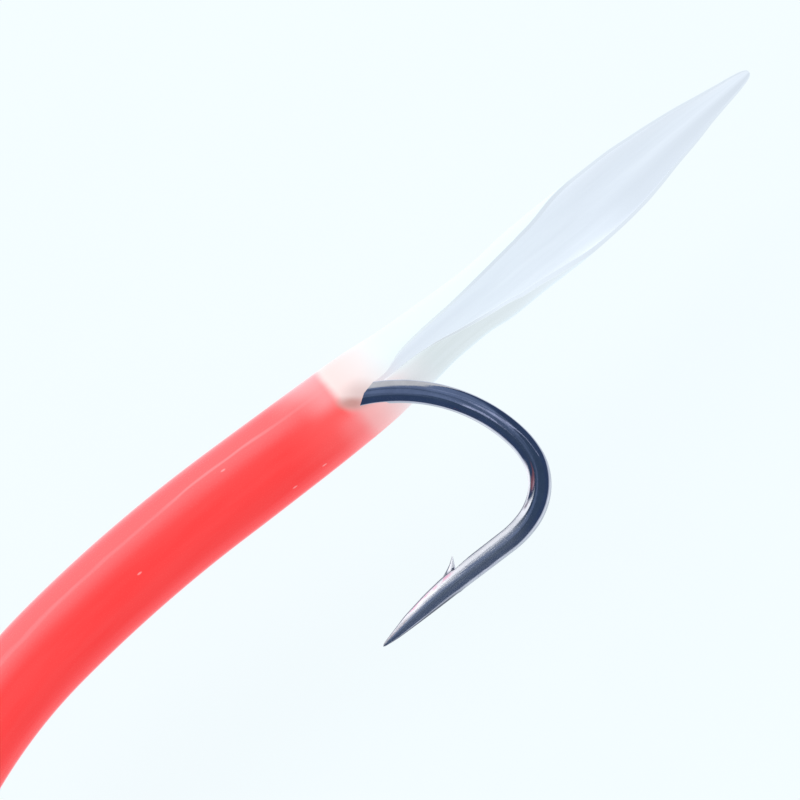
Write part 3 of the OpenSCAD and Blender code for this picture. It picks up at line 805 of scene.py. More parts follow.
def soft_vinyl():
    """Soft vinyl lets much of the light through, so most of its tone is given as a glow and the rest is shading."""
    g = Graph("two_tone_soft_vinyl")
    x, sn, cs, inner = g.attr("tube_x"), g.attr("tube_sin"), g.attr("tube_cos"), g.attr("tube_inner")
    ang = g.m("MULTIPLY", g.m("ARCTAN2", sn, cs), 180/math.pi)
    around, around2 = g.m("MULTIPLY", sn, 4.0), g.m("MULTIPLY", cs, 4.0)
    p = g.vec(x, around, around2)                                       # millimetres, moves with the tube
    stretched = g.vec(g.m("MULTIPLY", x, 0.12), around, around2)        # drawn out along the tube
    wander = g.m("SUBTRACT", g.noise(p, 0.35, 2.0), 0.5)
    # the colour change runs slightly askew and wavers
    skew = g.m("ADD", g.step(sn, -0.15, 0.35, -0.4, 0.3), g.step(sn, 0.35, 1.0, 0.0, 0.3))
    xw = g.m("SUBTRACT", g.m("ADD", x, g.m("MULTIPLY", wander, 0.7)), skew)
    white = g.step(g.m("DIVIDE", xw, g.step(sn, -0.1, 0.4, 0.5, 0.85)), -1.0, 1.0)
    is_in = g.step(inner, 0.35, 0.75)
    facing = g.n("ShaderNodeLayerWeight", None, {"Blend": 0.5}).outputs["Facing"]

    # red: saturated core, painted lighter along the side the light comes from, with a painted highlight line in that
    # band, and a painted pale glow where it turns away
    streak = g.noise(stretched, 0.8, 3.0)
    red = g.mix(g.step(streak, 0.3, 0.7), RED_A, RED_B)
    lw = g.m("ADD", ang, g.m("MULTIPLY", g.m("SUBTRACT", streak, 0.5), 16.0))
    red = g.mix(g.m("MULTIPLY", g.step(lw, -4.0, -38.0), 0.88), red, RED_LIT)
    # painted highlight: a thin pale line along the lit side
    line = g.m("MULTIPLY", g.band(lw, -41.5, -38.0, -36.5, -33.0), g.step(streak, 0.35, 0.6, 0.4, 0.85))
    red = g.mix(line, red, RED_HIGHLIGHT_LINE)
    red = g.mix(g.m("MULTIPLY", g.step(x, -7.5, 0.5), 0.55), red, RED_PALE)
    # painted pale glow along the far rim just before the colour change
    red = g.mix(g.m("MULTIPLY", g.step(x, -6.5, -1.0), g.step(sn, -0.5, -0.95, 0.0, 0.6)), red, RED_RIM_GLOW)
    pale = g.m("MULTIPLY", g.m("MULTIPLY", g.step(x, -4.0, -1.0), g.step(sn, 0.05, -0.35)), 0.6)
    pale = g.m("MAXIMUM", pale, g.m("MULTIPLY", g.m("MULTIPLY", g.step(x, -2.6, 0.2), g.step(sn, 0.05, 0.45)), 0.38))
    red = g.mix(pale, red, RED_SOFT)
    # painted pale glow at the silhouette, where backlight shows through the thin wall
    rim_glow = g.step(facing, 0.74, 1.0)
    red = g.mix(g.m("MULTIPLY", rim_glow, 0.55), red, RED_RIM_GLOW)
    # painted shade: the inside of the tube is deeper red
    red = g.mix(g.m("MULTIPLY", is_in, 0.6), red, RED_INSIDE_SHADE)

    # white: warm next to the red, milky blue-grey towards the tip
    milky = g.noise(g.vec(g.m("MULTIPLY", x, 0.1), around, around2), 0.5, 4.0, 0.6)
    vein = g.step(milky, 0.3, 0.7)
    # painted shade: the outer wall on the hook's side and at the back takes shaded tones (low); the side towards the
    # light takes a lit tone
    low = g.mix(g.step(x, 13.0, 22.0), g.mix(vein, SHADED_A, SHADED_B), SHADED_FAR)
    low = g.mix(g.step(x, 9.0, 5.5), low, SHADED_NEAR)
    outer = g.mix(g.m("MAXIMUM", g.step(ang, -2.0, 18.0), g.step(ang, -80.0, -125.0)), OUT_LIT, low)
    inside = g.mix(g.step(x, 18.0, 30.0), g.mix(vein, IN_A, IN_B), g.mix(vein, TIP_A, TIP_B))
    inside = g.mix(g.m("MULTIPLY", g.step(x, 24.0, 32.0), g.step(sn, -0.15, 0.55)), inside, TIP_SHADE)
    inside = g.mix(g.m("MULTIPLY", g.step(x, 22.0, 29.0), g.step(sn, -0.45, -0.95, 0.0, 0.8)), inside, TIP_LIT)
    # painted shade: a cooler, dimmer tone at grazing edges of the outer wall
    outer = g.mix(g.step(facing, 0.6, 1.0, 0.0, 0.7), outer, OUT_RIM_SHADE)
    milk = g.mix(is_in, outer, inside)
    # cut faces of the wall: painted shade on the near lip and round the tip, a painted lit tone on the far lip
    edge = g.band(inner, 0.04, 0.16, 0.84, 0.96)
    cut_face_light_shade = g.mix(g.step(x, 9.0, 17.0), g.mix(g.step(ang, -6.0, 4.0), EDGE_FAR_LIT, EDGE_NEAR_SHADE), EDGE_TIP_SHADE)
    milk = g.mix(g.m("MULTIPLY", edge, g.step(x, 3.0, 6.0)), milk, cut_face_light_shade)
    milk = g.mix(g.step(x, 6.5, 0.2), milk, WARM)
    # red shows on past the change on the hook's side; ahead of the slot the wire's shadow through the wall is painted
    # in as a warm grey shade and a darker spot
    bleed = g.m("MULTIPLY", g.step(x, 6.5, -0.6), g.step(sn, 0.0, 0.35))
    bleed = g.m("MULTIPLY", bleed, g.step(inner, 0.5, 0.02, 0.15, 1.0))
    milk = g.mix(g.m("MULTIPLY", bleed, g.step(cs, -1.0, -0.2)), milk, BLEED)

    def spot(cx, ca, half_len, half_wid, ux, ua):
        """Soft oval at cx along, ca round, lying along (ux, ua)."""
        dx, da = g.m("SUBTRACT", x, cx), g.m("SUBTRACT", around, ca)
        lo = g.m("ADD", g.m("MULTIPLY", dx, ux/half_len), g.m("MULTIPLY", da, ua/half_len))
        cr = g.m("ADD", g.m("MULTIPLY", dx, -ua/half_wid), g.m("MULTIPLY", da, ux/half_wid))
        d = g.m("SQRT", g.m("ADD", g.m("MULTIPLY", lo, lo), g.m("MULTIPLY", cr, cr)))
        d = g.m("ADD", d, g.m("MULTIPLY", wander, 0.5))
        return g.m("MULTIPLY", g.step(d, 1.0, 0.1), g.step(cs, 0.2, 0.6))
    # painted shade: warm grey where the wire's shadow shows through the wall ahead of the slot
    milk = g.mix(g.m("MULTIPLY", spot(1.6, 0.15, 2.3, 1.8, 0.8, 0.6), 0.6), milk, WARM_SHADE)
    tone = g.mix(white, red, milk)
    # painted shadow: a darker spot where the wire's shadow falls on the wall
    tone = g.mix(g.m("MULTIPLY", spot(0.5, 0.25, 1.9, 0.82, 0.8, 0.6), 0.85), tone, WIRE_SHADOW)

    # pin-head bubbles and dust, drawn out along the tube
    vor = g.n("ShaderNodeTexVoronoi", {"feature": "F1"}, {"Vector": p, "Scale": 0.16, "Randomness": 1.0})
    cell = g.n("ShaderNodeSeparateColor", None, {0: vor.outputs["Color"]}).outputs[0]
    speck = g.m("MULTIPLY", g.step(vor.outputs["Distance"], 0.022, 0.008), g.step(cell, 0.5, 0.55))
    for sx, sa in ((-7.8, 50.0), (-4.6, 51.0), (-11.9, -28.0), (-23.2, 8.0)):
        ux = g.m("SUBTRACT", x, sx)
        ua = g.m("MULTIPLY", g.m("SUBTRACT", ang, sa), 0.068)
        tilt = g.m("ADD", g.m("MULTIPLY", ux, 0.35), g.m("MULTIPLY", ua, 0.12))
        off = g.m("SUBTRACT", ua, g.m("MULTIPLY", ux, 0.1))
        d = g.m("SQRT", g.m("ADD", g.m("MULTIPLY", tilt, tilt), g.m("MULTIPLY", off, off)))
        speck = g.m("MAXIMUM", speck, g.step(d, 0.11, 0.05))
    speck = g.m("MULTIPLY", g.m("MULTIPLY", speck, g.m("SUBTRACT", 1.0, white)), g.m("SUBTRACT", 1.0, is_in))
    tone = g.mix(g.m("MULTIPLY", speck, 0.32), tone, (1.0, 0.75, 0.76))

    fine = g.noise(p, 5.0, 4.0, 0.6)
    ripple = g.noise(stretched, 0.9, 2.0)
    bump = g.bump(fine, 0.12, 0.00006)
    bump = g.bump(ripple, 0.25, 0.0001, bump)
    knife = g.noise(g.vec(g.m("MULTIPLY", x, 3.0), g.m("MULTIPLY", inner, 0.6), around), 1.6, 3.0)
    bump = g.bump(g.m("MULTIPLY", knife, edge), 0.4, 0.0001, bump)
    rough = g.m("ADD", g.step(x, -0.8, 0.8, 0.26, 0.42), g.m("MULTIPLY", g.m("SUBTRACT", fine, 0.5), 0.16))
    kd = g.step(x, -0.8, 0.8, RED_KD, MILK_KD)
    ke = g.step(x, -0.8, 0.8, RED_KE, MILK_KE)
    base = g.n("ShaderNodeVectorMath", {"operation": "SCALE"}, {0: tone, "Scale": kd}).outputs[0]
    g.surface(Base_Color=base, Roughness=rough, Normal=bump, IOR=1.46, Specular_IOR_Level=0.4,
              Emission_Color=tone, Emission_Strength=ke)
    return g.owner


RED_A, RED_B = lin(255, 66, 66), lin(255, 73, 73)
RED_LIT, RED_HIGHLIGHT_LINE, RED_PALE = lin(255, 111, 114), lin(255, 140, 144), lin(255, 116, 116)
RED_RIM_GLOW, RED_INSIDE_SHADE, RED_SOFT = lin(255, 196, 202), lin(215, 40, 44), lin(254, 165, 169)
OUT_LIT, OUT_RIM_SHADE = lin(235, 248, 252), lin(226, 244, 253)
SHADED_NEAR, TIP_SHADE, TIP_LIT = lin(232, 235, 239), lin(214, 224, 235), lin(231, 240, 250)
SHADED_A, SHADED_B, SHADED_FAR = lin(217, 227, 229), lin(226, 236, 240), lin(229, 239, 246)
IN_A, IN_B = lin(229, 239, 249), lin(236, 246, 255)
TIP_A, TIP_B = lin(224, 234, 245), lin(230, 240, 251)
EDGE_FAR_LIT, EDGE_NEAR_SHADE, EDGE_TIP_SHADE = lin(232, 242, 247), lin(198, 206, 211), lin(222, 232, 242)
WARM, WARM_SHADE, WIRE_SHADOW, BLEED = lin(252, 227, 225), lin(208, 180, 178), lin(196, 138, 132), lin(250, 166, 167)
RED_KD, RED_KE, MILK_KD, MILK_KE = 0.34, 0.68, 0.26, 0.74


def wire_coordinates(ob, pts, prefix="wire"):
    """Stores where each point lies along a wire, round it and out from it; pts are rows of position and side direction."""
    co = np.zeros(len(ob.data.vertices)*3, np.float32)
    ob.data.vertices.foreach_get("co", co)
    co = co.reshape(-1, 3).astype(float)/MM
    pos = np.array([p[0] for p in pts])
    side = np.array([p[1] for p in pts])
    length = np.array([p[2] for p in pts])
    s = np.zeros(len(co), np.float32)
    a = np.zeros(len(co), np.float32)
    r = np.zeros(len(co), np.float32)
    for k in range(0, len(co), 4000):
        d2 = ((co[k:k+4000, None, :] - pos[None])**2).sum(2)
        b = d2.argmin(1)
        rel = co[k:k+4000] - pos[b]
        s[k:k+4000] = length[b]
        a[k:k+4000] = np.arctan2(rel[:, 2], (rel*side[b]).sum(1))
        r[k:k+4000] = np.hypot(rel[:, 2], (rel*side[b]).sum(1))
    for nm, v in ((prefix + "_s", s), (prefix + "_a", a), (prefix + "_r", r)):
        ob.data.attributes.new(nm, "FLOAT", "POINT").data.foreach_set("value", v)


HOOK_END = hook_line()[0][-1]
POINT_IN = unit3(np.array(hook_place(HOOK_END[0] - math.sin(HOOK_END[2]), HOOK_END[1] + math.cos(HOOK_END[2]), 0.0))
                 - np.array(hook_place(HOOK_END[0], HOOK_END[1], 0.0)))


def black_nickel():
    g = Graph("black_nickel_plate")
    s, a = g.attr("wire_s"), g.attr("wire_a")
    ca, sa = g.m("COSINE", a), g.m("SINE", a)
    drawn = g.vec(g.m("MULTIPLY", s, 0.14), g.m("MULTIPLY", ca, 3.2), g.m("MULTIPLY", sa, 3.2))
    lines = g.noise(drawn, 2.6, 4.0, 0.65)
    obj = g.n("ShaderNodeVectorMath", {"operation": "SCALE"}, {0: g.object_coord(), "Scale": 1000.0}).outputs[0]
    cloud = g.noise(obj, 0.8, 4.0, 0.6)
    pits = g.noise(obj, 9.0, 3.0, 0.7)
    col = g.mix(g.step(cloud, 0.3, 0.7), (0.62, 0.64, 0.68), (0.72, 0.74, 0.78))
    col = g.mix(g.m("MULTIPLY", g.step(pits, 0.66, 0.78), 0.35), col, (0.45, 0.46, 0.50))
    # the ground point is paler, bare metal
    ground = g.step(s, 62.5, 66.5)
    col = g.mix(g.m("MULTIPLY", ground, 0.5), col, (0.82, 0.83, 0.86))
    # painted highlights: the inside of the ground point, the barb, the tip and the inner edge past the bend are pale
    # and partly non-metal; a painted rosy reflection lies in patches; grazing edges get painted dark outlines
    facing = g.n("ShaderNodeLayerWeight", None, {"Blend": 0.5}).outputs["Facing"]
    inward = g.dot(g.n("ShaderNodeTexCoord").outputs["Normal"], POINT_IN)
    # painted highlight on the barb's raised sliver
    barb = g.m("MULTIPLY", g.step(g.attr("wire_r"), 1.02, 1.12), g.band(s, 64.0, 65.0, 68.5, 69.5))
    toward = g.m("ADD", g.m("ADD", inward, g.step(s, 64.0, 67.0, -0.03, 0.04)), g.m("MULTIPLY", g.m("SUBTRACT", lines, 0.5), 0.5))
    pale_highlight = g.m("MULTIPLY", g.step(toward, -0.24, 0.2),
               g.step(s, 64.0, 69.0, 0.5, 0.72))
    pale_highlight = g.m("MULTIPLY", g.m("MAXIMUM", pale_highlight, 0.06), g.step(s, 57.0, 61.0))
    # painted highlight on the inside of the tip
    tip = g.m("MULTIPLY", g.step(inward, 0.22, 0.5), g.step(s, 66.6, 68.2, 0.0, 0.8))
    fade = g.step(s, 70.5, 73.5, 1.0, 0.6)
    pale_highlight, tip = g.m("MULTIPLY", pale_highlight, fade), g.m("MULTIPLY", tip, fade)
    # painted highlight line along the inner edge past the bend
    bend = g.m("MULTIPLY", g.m("MULTIPLY", g.step(ca, 0.6, 0.76), g.band(s, 52.0, 53.5, 60.0, 63.0)), 0.85)
    pale_highlight = g.m("MAXIMUM", g.m("MAXIMUM", pale_highlight, g.m("MULTIPLY", barb, 0.85)), g.m("MAXIMUM", tip, bend))
    patch = g.noise(g.vec(g.m("MULTIPLY", s, 0.9), g.m("MULTIPLY", ca, 2.5), g.m("MULTIPLY", sa, 2.5)), 1.3, 3.0)
    # painted reflection: rosy patches on the point's inner face, as if the red tube showed in it
    rosy_reflection = g.m("MULTIPLY", g.m("MULTIPLY", g.band(s, 65.6, 66.8, 70.5, 72.0), g.step(inward, 0.2, 0.45)), g.step(patch, 0.42, 0.58))
    rosy_reflection = g.m("MULTIPLY", rosy_reflection, g.step(facing, 0.62, 0.4))
    inner_side = g.step(inward, 0.0, 0.3)
    # painted shade: dark outlines where the wire's surface turns away
    dark_in = g.m("MULTIPLY", g.m("MULTIPLY", g.step(facing, 0.46, 0.64), g.step(s, 54.5, 57.5)), inner_side)
    dark_out = g.m("MULTIPLY", g.m("MULTIPLY", g.step(facing, 0.36, 0.6), g.step(s, 65.0, 68.0)), g.m("SUBTRACT", 1.0, inner_side))
    painted_dark_edge = g.m("MAXIMUM", dark_in, dark_out)
    col = g.mix(pale_highlight, col, (0.90, 0.91, 0.96))
    col = g.mix(g.m("MULTIPLY", rosy_reflection, 0.85), col, (0.90, 0.46, 0.62))
    col = g.mix(painted_dark_edge, col, (0.10, 0.11, 0.14))
    metal = g.m("SUBTRACT", 1.0, g.m("MULTIPLY", g.m("MULTIPLY", pale_highlight, 0.8), g.m("SUBTRACT", 1.0, painted_dark_edge)))
    rough = g.m("ADD", 0.05, g.m("MULTIPLY", g.step(lines, 0.35, 0.75), 0.07))
    brushed = g.step(s, 57.5, 61.5)
    scuff = g.noise(g.vec(g.m("MULTIPLY", s, 0.5), g.m("MULTIPLY", ca, 3.4), g.m("MULTIPLY", sa, 3.4)), 1.5, 2.5, 0.55)
    rough = g.m("ADD", rough, g.m("MULTIPLY", brushed, g.step(scuff, 0.3, 0.7, 0.07, 0.2)))
    b = g.bump(lines, 0.16, 0.00002)
    b = g.bump(cloud, 0.08, 0.00006, b)
    b = g.bump(g.m("MULTIPLY", scuff, brushed), g.step(s, 64.0, 67.0, 0.26, 0.14), 0.00008, b)
    b = g.bump(g.step(pits, 0.68, 0.8), 0.12, 0.000006, b)
    g.surface(Base_Color=col, Metallic=metal, Roughness=rough, Normal=b)
    return g.owner


def small_metal(name, a, b, dark, rough, scale=1.2, bump=0.00003, grain=6.0, metallic=1.0):
    """Cast, pressed or plated metal: two tones, tarnish in patches, fine grain."""
    g = Graph(name)
    obj = g.n("ShaderNodeVectorMath", {"operation": "SCALE"}, {0: g.object_coord(), "Scale": 1000.0}).outputs[0]
    cloud = g.noise(obj, scale, 5.0, 0.6)
    fine = g.noise(obj, grain, 4.0, 0.65)
    col = g.mix(g.step(cloud, 0.3, 0.7), a, b)
    point = g.n("ShaderNodeNewGeometry").outputs["Pointiness"]
    # darker in hollows and creases
    col = g.mix(g.step(point, 0.47, 0.40, 0.0, 0.8), col, dark)
    col = g.mix(g.m("MULTIPLY", g.step(fine, 0.6, 0.8), 0.5), col, dark)
    r = g.m("ADD", rough, g.m("MULTIPLY", g.m("SUBTRACT", fine, 0.5), 0.3))
    nb = g.bump(fine, 0.3, bump)
    nb = g.bump(cloud, 0.3, bump*2, nb)
    g.surface(Base_Color=col, Metallic=metallic, Roughness=r, Normal=nb)
    return g.owner


def bead_plastic():
    g = Graph("red_bead_plastic")
    obj = g.n("ShaderNodeVectorMath", {"operation": "SCALE"}, {0: g.object_coord(), "Scale": 1000.0}).outputs[0]
    cloud = g.noise(obj, 0.9, 3.0)
    fine = g.noise(obj, 7.0, 4.0)
    col = g.mix(g.step(cloud, 0.3, 0.7), (0.52, 0.01, 0.012), (0.68, 0.02, 0.02))
    g.surface(Base_Color=col, Roughness=g.m("ADD", 0.12, g.m("MULTIPLY", fine, 0.1)), Normal=g.bump(fine, 0.15, 0.00001),
              Coat_Weight=0.5, Coat_Roughness=0.05, Subsurface_Weight=0.15, Subsurface_Radius=(1.0, 0.1, 0.1), Subsurface_Scale=0.001)
    return g.owner


# ------------------------------------------------------------------ put together
def give(ob, material):
    ob.data.materials.clear()
    ob.data.materials.append(material)


tube, tube_points = soft_tube()
boolean(tube, slot_cutter(), "DIFFERENCE")
boolean(tube, hook_cutter(), "DIFFERENCE")
finish_mesh(tube, 38, merge=1e-7)
tube_coordinates(tube, tube_points)
give(tube, soft_vinyl())
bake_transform(tube)
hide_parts("tube_body", "tail_collar", "tail_blade")
tube.visible_glossy = False             # its glow would otherwise burn a red line into the whole wire

forged = hook()
forged.name = "forged_hook"
line = [(hook_place(r[0], r[1], 0.0), np.array(hook_place(r[0] - math.sin(r[2]), r[1] + math.cos(r[2]), 0.0)) - hook_place(r[0], r[1], 0.0), r[3])
        for r in hook_line()[0]]
wire_coordinates(forged, line)
give(forged, black_nickel())
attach(forged, "lure")
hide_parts("hook")

cable = leader()
give(cable, small_metal("drawn_stainless", (0.60, 0.61, 0.63), (0.70, 0.71, 0.72), (0.25, 0.25, 0.26), 0.28, 0.8, 0.00001, 12.0))
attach(cable, "lure")
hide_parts("leader_wire")

copper = small_metal("pressed_copper", (0.78, 0.42, 0.26), (0.86, 0.52, 0.34), (0.30, 0.15, 0.10), 0.3, 0.7, 0.00002, 8.0)
for nm, node, st, dr in (("front_crimp", "front_crimp_sleeve", (CRIMP_X, 0.0), (1.0, 0.0)),
                         ("rear_crimp", "rear_crimp_sleeve", tuple(REAR_START), tuple(REAR_DIR))):
    sleeve = crimp(nm, st, dr, (1.3, 3.0, 4.7))
    give(sleeve, copper)
    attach(sleeve, "lure")
    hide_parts(node)

lead = sinker()
give(lead, small_metal("cast_lead", (0.24, 0.25, 0.27), (0.36, 0.37, 0.39), (0.10, 0.10, 0.11), 0.5, 0.5, 0.00006, 4.0))
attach(lead, "lure")
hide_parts("egg_sinker")

red_bead = bead()
give(red_bead, bead_plastic())
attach(red_bead, "lure")
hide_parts("stop_bead")

plated = small_metal("black_nickel_brass", (0.14, 0.135, 0.14), (0.22, 0.21, 0.21), (0.05, 0.05, 0.055), 0.22, 0.8, 0.00002, 9.0)
body = barrel()
give(body, plated)
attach(body, "barrel")
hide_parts("swivel_barrel")

ring_metal = small_metal("black_nickel_wire", (0.20, 0.20, 0.22), (0.30, 0.30, 0.33), (0.07, 0.07, 0.08), 0.18, 0.9, 0.00001, 10.0)
front = swivel_ring("line_tie_ring", (0, 0, 0), (1, 0, 0), (0, 0, 1), 3.4 + 1.35, 3.4 + 2.05)
give(front, ring_metal)
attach(front, "swivel_front")
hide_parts("swivel_front_ring")
rear = swivel_ring("leader_ring", (REAR_RING_X, 0, 0), (-1, 0, 0), (0, 1, 0), REAR_RING_X - 9.8 + 1.35, REAR_RING_X - 9.8 + 2.05)
give(rear, ring_metal)
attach(rear, "swivel_rear")
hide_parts("swivel_rear_ring")


# ------------------------------------------------------------------ floor, light, camera
NAVY = (0.037, 0.064, 0.140)
SLATE = (0.135, 0.185, 0.320)


def room(g, d):
    """Tones of the room by direction, as bright metal sees them: a dark tent with a white wall low on one side,
    a slate ceiling patch behind it, a slim lamp, and a pale table below. Angles in degrees; turn is counted round
    the vertical, tall is the height above the level."""
    turn = g.m("MULTIPLY", g.m("ARCTAN2", g.dot(d, U_DIR), g.dot(d, A_DIR)), 180/math.pi)
    turn = g.m("FLOORED_MODULO", g.m("SUBTRACT", turn, 120.0), 360.0)
    tall = g.m("MULTIPLY", g.m("ARCSINE", g.dot(d, (0, 0, 1)), clamp=False), 180/math.pi)

    def stroke(t0, e0, t1, e1, core, soft):
        """Soft bar between two directions."""
        k = math.cos(math.radians(0.5*(e0 + e1)))
        px, py = g.m("MULTIPLY", g.m("SUBTRACT", turn, t0), k), g.m("SUBTRACT", tall, e0)
        vx, vy = (t1 - t0)*k, e1 - e0
        q = vx*vx + vy*vy
        h = g.m("ADD", g.m("MULTIPLY", px, vx/q), g.m("MULTIPLY", py, vy/q), clamp=True)
        dx, dy = g.m("SUBTRACT", px, g.m("MULTIPLY", h, vx)), g.m("SUBTRACT", py, g.m("MULTIPLY", h, vy))
        gap = g.m("SQRT", g.m("ADD", g.m("MULTIPLY", dx, dx), g.m("MULTIPLY", dy, dy)))
        return g.step(gap, soft, core)

    env = g.mix(g.step(tall, 20.0, 60.0), NAVY, (0.041, 0.070, 0.132))
    # slate overhead: on both sides of the straight-up direction, falling off to the right
    high = g.m("ADD", 62.0, g.step(turn, 92.0, 106.0, 0.0, 5.0))
    env = g.mix(g.m("MULTIPLY", g.step(g.m("SUBTRACT", tall, high), -2.0, 3.0), g.step(turn, 150.0, 132.0)), env, SLATE)
    env = g.mix(g.m("MULTIPLY", g.band(turn, -5.0, 20.0, 50.0, 66.0), g.step(tall, 46.0, 58.0)), env, (0.095, 0.135, 0.24))
    arch = g.m("SUBTRACT", 68.0, g.step(turn, 165.0, 208.0, 0.0, 32.0))
    under = g.m("MULTIPLY", g.step(g.m("SUBTRACT", arch, tall), -2.0, 3.0), g.step(tall, -4.0, 14.0))
    env = g.mix(g.m("MULTIPLY", under, g.band(turn, 138.0, 146.0, 190.0, 199.0)), env, SLATE)
    # the wall and its end turned away from the light
    past = g.m("MAXIMUM", g.m("SUBTRACT", turn, 168.0), 0.0)
    crest = g.m("SUBTRACT", g.m("SUBTRACT", 62.0, g.m("MULTIPLY", g.m("SUBTRACT", turn, 150.0), 0.85)),
                g.m("MULTIPLY", g.m("MULTIPLY", past, past), 0.12))
    crest = g.m("MINIMUM", crest, 57.0)
    rise = g.m("SUBTRACT", crest, tall)
    wall = g.m("MULTIPLY", g.step(rise, -1.5, 2.0), g.band(turn, 123.0, 128.0, 196.0, 206.0))
    face = g.mix(g.step(turn, 133.0, 141.0), (1.25, 1.25, 1.3), g.mix(g.step(rise, 0.0, 22.0), (0.40, 0.43, 0.52), (0.80, 0.81, 0.86)))
    face = g.mix(g.step(turn, 148.0, 166.0), face, (0.70, 0.70, 0.72))
    env = g.mix(wall, env, face)
    env = g.mix(stroke(128.0, 30.0, 129.0, 2.0, 0.8, 3.6), env, (0.36, 0.32, 0.38))
    env = g.mix(stroke(147.0, 14.0, 148.0, -1.0, 1.0, 3.2), env, (0.20, 0.22, 0.26))
    # something red standing beside it
    env = g.mix(stroke(115.0, 54.0, 113.0, 20.0, 2.0, 5.5), env, (0.24, 0.10, 0.13))
    env = g.mix(stroke(118.0, 50.0, 117.0, 38.0, 0.6, 2.4), env, (0.50, 0.30, 0.36))
    # a slim lamp overhead shows as a fine pale line
    path = ((82.0, 61.0), (95.0, 64.0), (112.0, 66.6)), ((156.0, 65.2), (170.0, 61.8), (184.0, 56.8), (199.0, 49.0), (216.0, 43.0), (226.0, 38.0))
    for pts in path:
        for (t0, e0), (t1, e1) in zip(pts[:-1], pts[1:]):
            env = g.mix(stroke(t0, e0, t1, e1, 0.45, 1.7), env, (0.46, 0.51, 0.74))
    env = g.mix(stroke(160.0, 57.5, 196.0, 44.0, 0.3, 1.3), env, (0.26, 0.32, 0.50))
    # the table
    edge = g.m("ADD", -40.0, g.step(turn, 45.0, 70.0, 0.0, 29.0))
    edge = g.m("ADD", edge, g.step(turn, 72.0, 92.0, 0.0, 10.0))
    edge = g.m("SUBTRACT", edge, g.step(turn, 150.0, 168.0, 0.0, 22.0))
    edge = g.m("SUBTRACT", edge, g.m("MULTIPLY", g.band(turn, 186.0, 200.0, 214.0, 250.0), 14.0))
    edge = g.m("ADD", edge, g.step(turn, 236.0, 262.0, 0.0, 4.0))
    edge = g.m("SUBTRACT", edge, g.step(turn, 300.0, 330.0, 0.0, 12.0))
    drop = g.m("SUBTRACT", edge, tall)
    env = g.mix(g.step(drop, -7.0, 7.0), env, (0.58, 0.62, 0.76))
    env = g.mix(g.step(drop, 8.0, 34.0), env, (1.0, 1.04, 1.12))
    return g.mix(g.step(tall, -54.0, -60.0), env, (0.62, 0.68, 0.76))


def backdrop():
    g = Graph("pale_floor")
    inc = g.n("ShaderNodeNewGeometry").outputs["Incoming"]
    lp = g.n("ShaderNodeLightPath")
    obj = g.object_coord()
    paper = g.noise(obj, 40.0, 4.0, 0.6)
    tone = g.mix(g.step(paper, 0.3, 0.7), tuple(c*0.995 for c in BACKDROP), BACKDROP)
    out = g.n("ShaderNodeVectorMath", {"operation": "SCALE"}, {0: inc, "Scale": -1.0}).outputs[0]
    em = g.n("ShaderNodeEmission", None, {0: tone, 1: 1.0}).outputs[0]
    df = g.n("ShaderNodeBsdfDiffuse", None, {0: tuple(BACKDROP) + (1.0,)}).outputs[0]
    plain = g.n("ShaderNodeMixShader", None, {0: SHADOW, 1: em, 2: df}).outputs[0]
    mirror = g.n("ShaderNodeEmission", None, {0: room(g, out), 1: 1.0}).outputs[0]
    mix = g.n("ShaderNodeMixShader", None, {0: lp.outputs["Is Glossy Ray"], 1: plain, 2: mirror})
    g.t.links.new(mix.outputs[0], g.out.inputs[0])
    return g.owner


SHADOW = 0.06


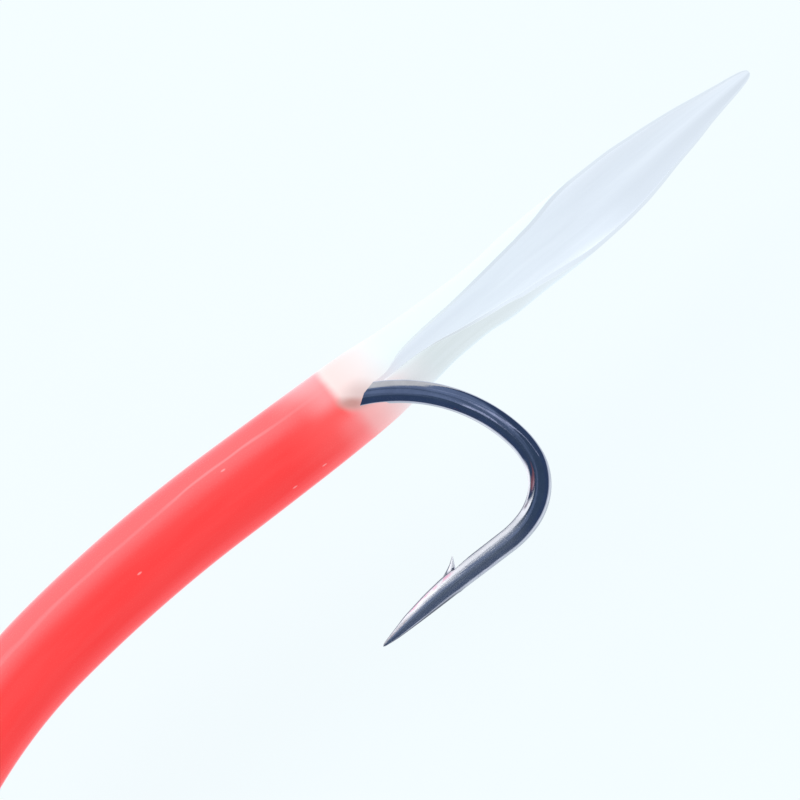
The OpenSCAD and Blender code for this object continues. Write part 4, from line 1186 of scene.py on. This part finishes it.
def studio():
    g = Graph("studio", world=True)
    lp = g.n("ShaderNodeLightPath")
    d = g.n("ShaderNodeTexCoord").outputs["Generated"]
    fill = g.mix(g.step(g.dot(d, unit3(-0.5*RIGHT + 0.6*UP + 0.6*BACK)), -0.6, 0.9), DOME_LO, DOME_HI)
    seen = g.mix(lp.outputs["Is Diffuse Ray"], tuple(BACKDROP), fill)
    plain = g.n("ShaderNodeBackground", None, {0: seen, 1: 1.0}).outputs[0]
    mirror = g.n("ShaderNodeBackground", None, {0: room(g, d), 1: 1.0}).outputs[0]
    mix = g.n("ShaderNodeMixShader", None, {0: lp.outputs["Is Glossy Ray"], 1: plain, 2: mirror})
    g.t.links.new(mix.outputs[0], g.out.inputs[0])
    return g.owner


DOME_LO, DOME_HI = (0.55, 0.58, 0.60), (1.0, 1.02, 1.03)


fm = bpy.data.meshes.new("floor")
fm.from_pydata([(-3, -3, FLOOR_Z*MM), (3, -3, FLOOR_Z*MM), (3, 3, FLOOR_Z*MM), (-3, 3, FLOOR_Z*MM)], [], [(0, 1, 2, 3)])
floor = bpy.data.objects.new("floor", fm)
bpy.context.scene.collection.objects.link(floor)
fm.materials.append(backdrop())

bpy.context.scene.world = studio()


def area(name, toward, dist, size, watts, colour):
    """Soft panel aimed at the tail's start, seen by matt surfaces only."""
    target = Vector(tuple(P4*MM))
    ld = bpy.data.lights.new(name, "AREA")
    ld.shape, ld.size, ld.energy, ld.color = "DISK", size, watts, colour
    lo = bpy.data.objects.new(name, ld)
    bpy.context.scene.collection.objects.link(lo)
    d = Vector(tuple(unit3(toward)))
    lo.location = target + d*dist
    lo.rotation_euler = d.to_track_quat("Z", "Y").to_euler()
    lo.visible_glossy = False
    return lo


area("key", -0.55*RIGHT + 0.65*UP + 0.75*BACK, 0.7, 0.45, 2.2, (1.0, 0.99, 0.98))

cam_data = bpy.data.cameras.new("camera")
cam = bpy.data.objects.new("camera", cam_data)
bpy.context.scene.collection.objects.link(cam)
centre = P4 + 54*PX*RIGHT + 5*PX*UP
dist = 900.0
cam.matrix_world = Matrix((
    (RIGHT[0], UP[0], BACK[0], (centre[0] + dist*BACK[0])*MM),
    (RIGHT[1], UP[1], BACK[1], (centre[1] + dist*BACK[1])*MM),
    (RIGHT[2], UP[2], BACK[2], (centre[2] + dist*BACK[2])*MM),
    (0, 0, 0, 1)))
cam_data.sensor_fit = "HORIZONTAL"
cam_data.angle = 2*math.atan(400*PX/dist)
cam_data.clip_start, cam_data.clip_end = 0.01, 20
bpy.context.scene.camera = cam
bpy.context.scene.view_settings.view_transform = "Standard"
bpy.context.scene.view_settings.look = "None"
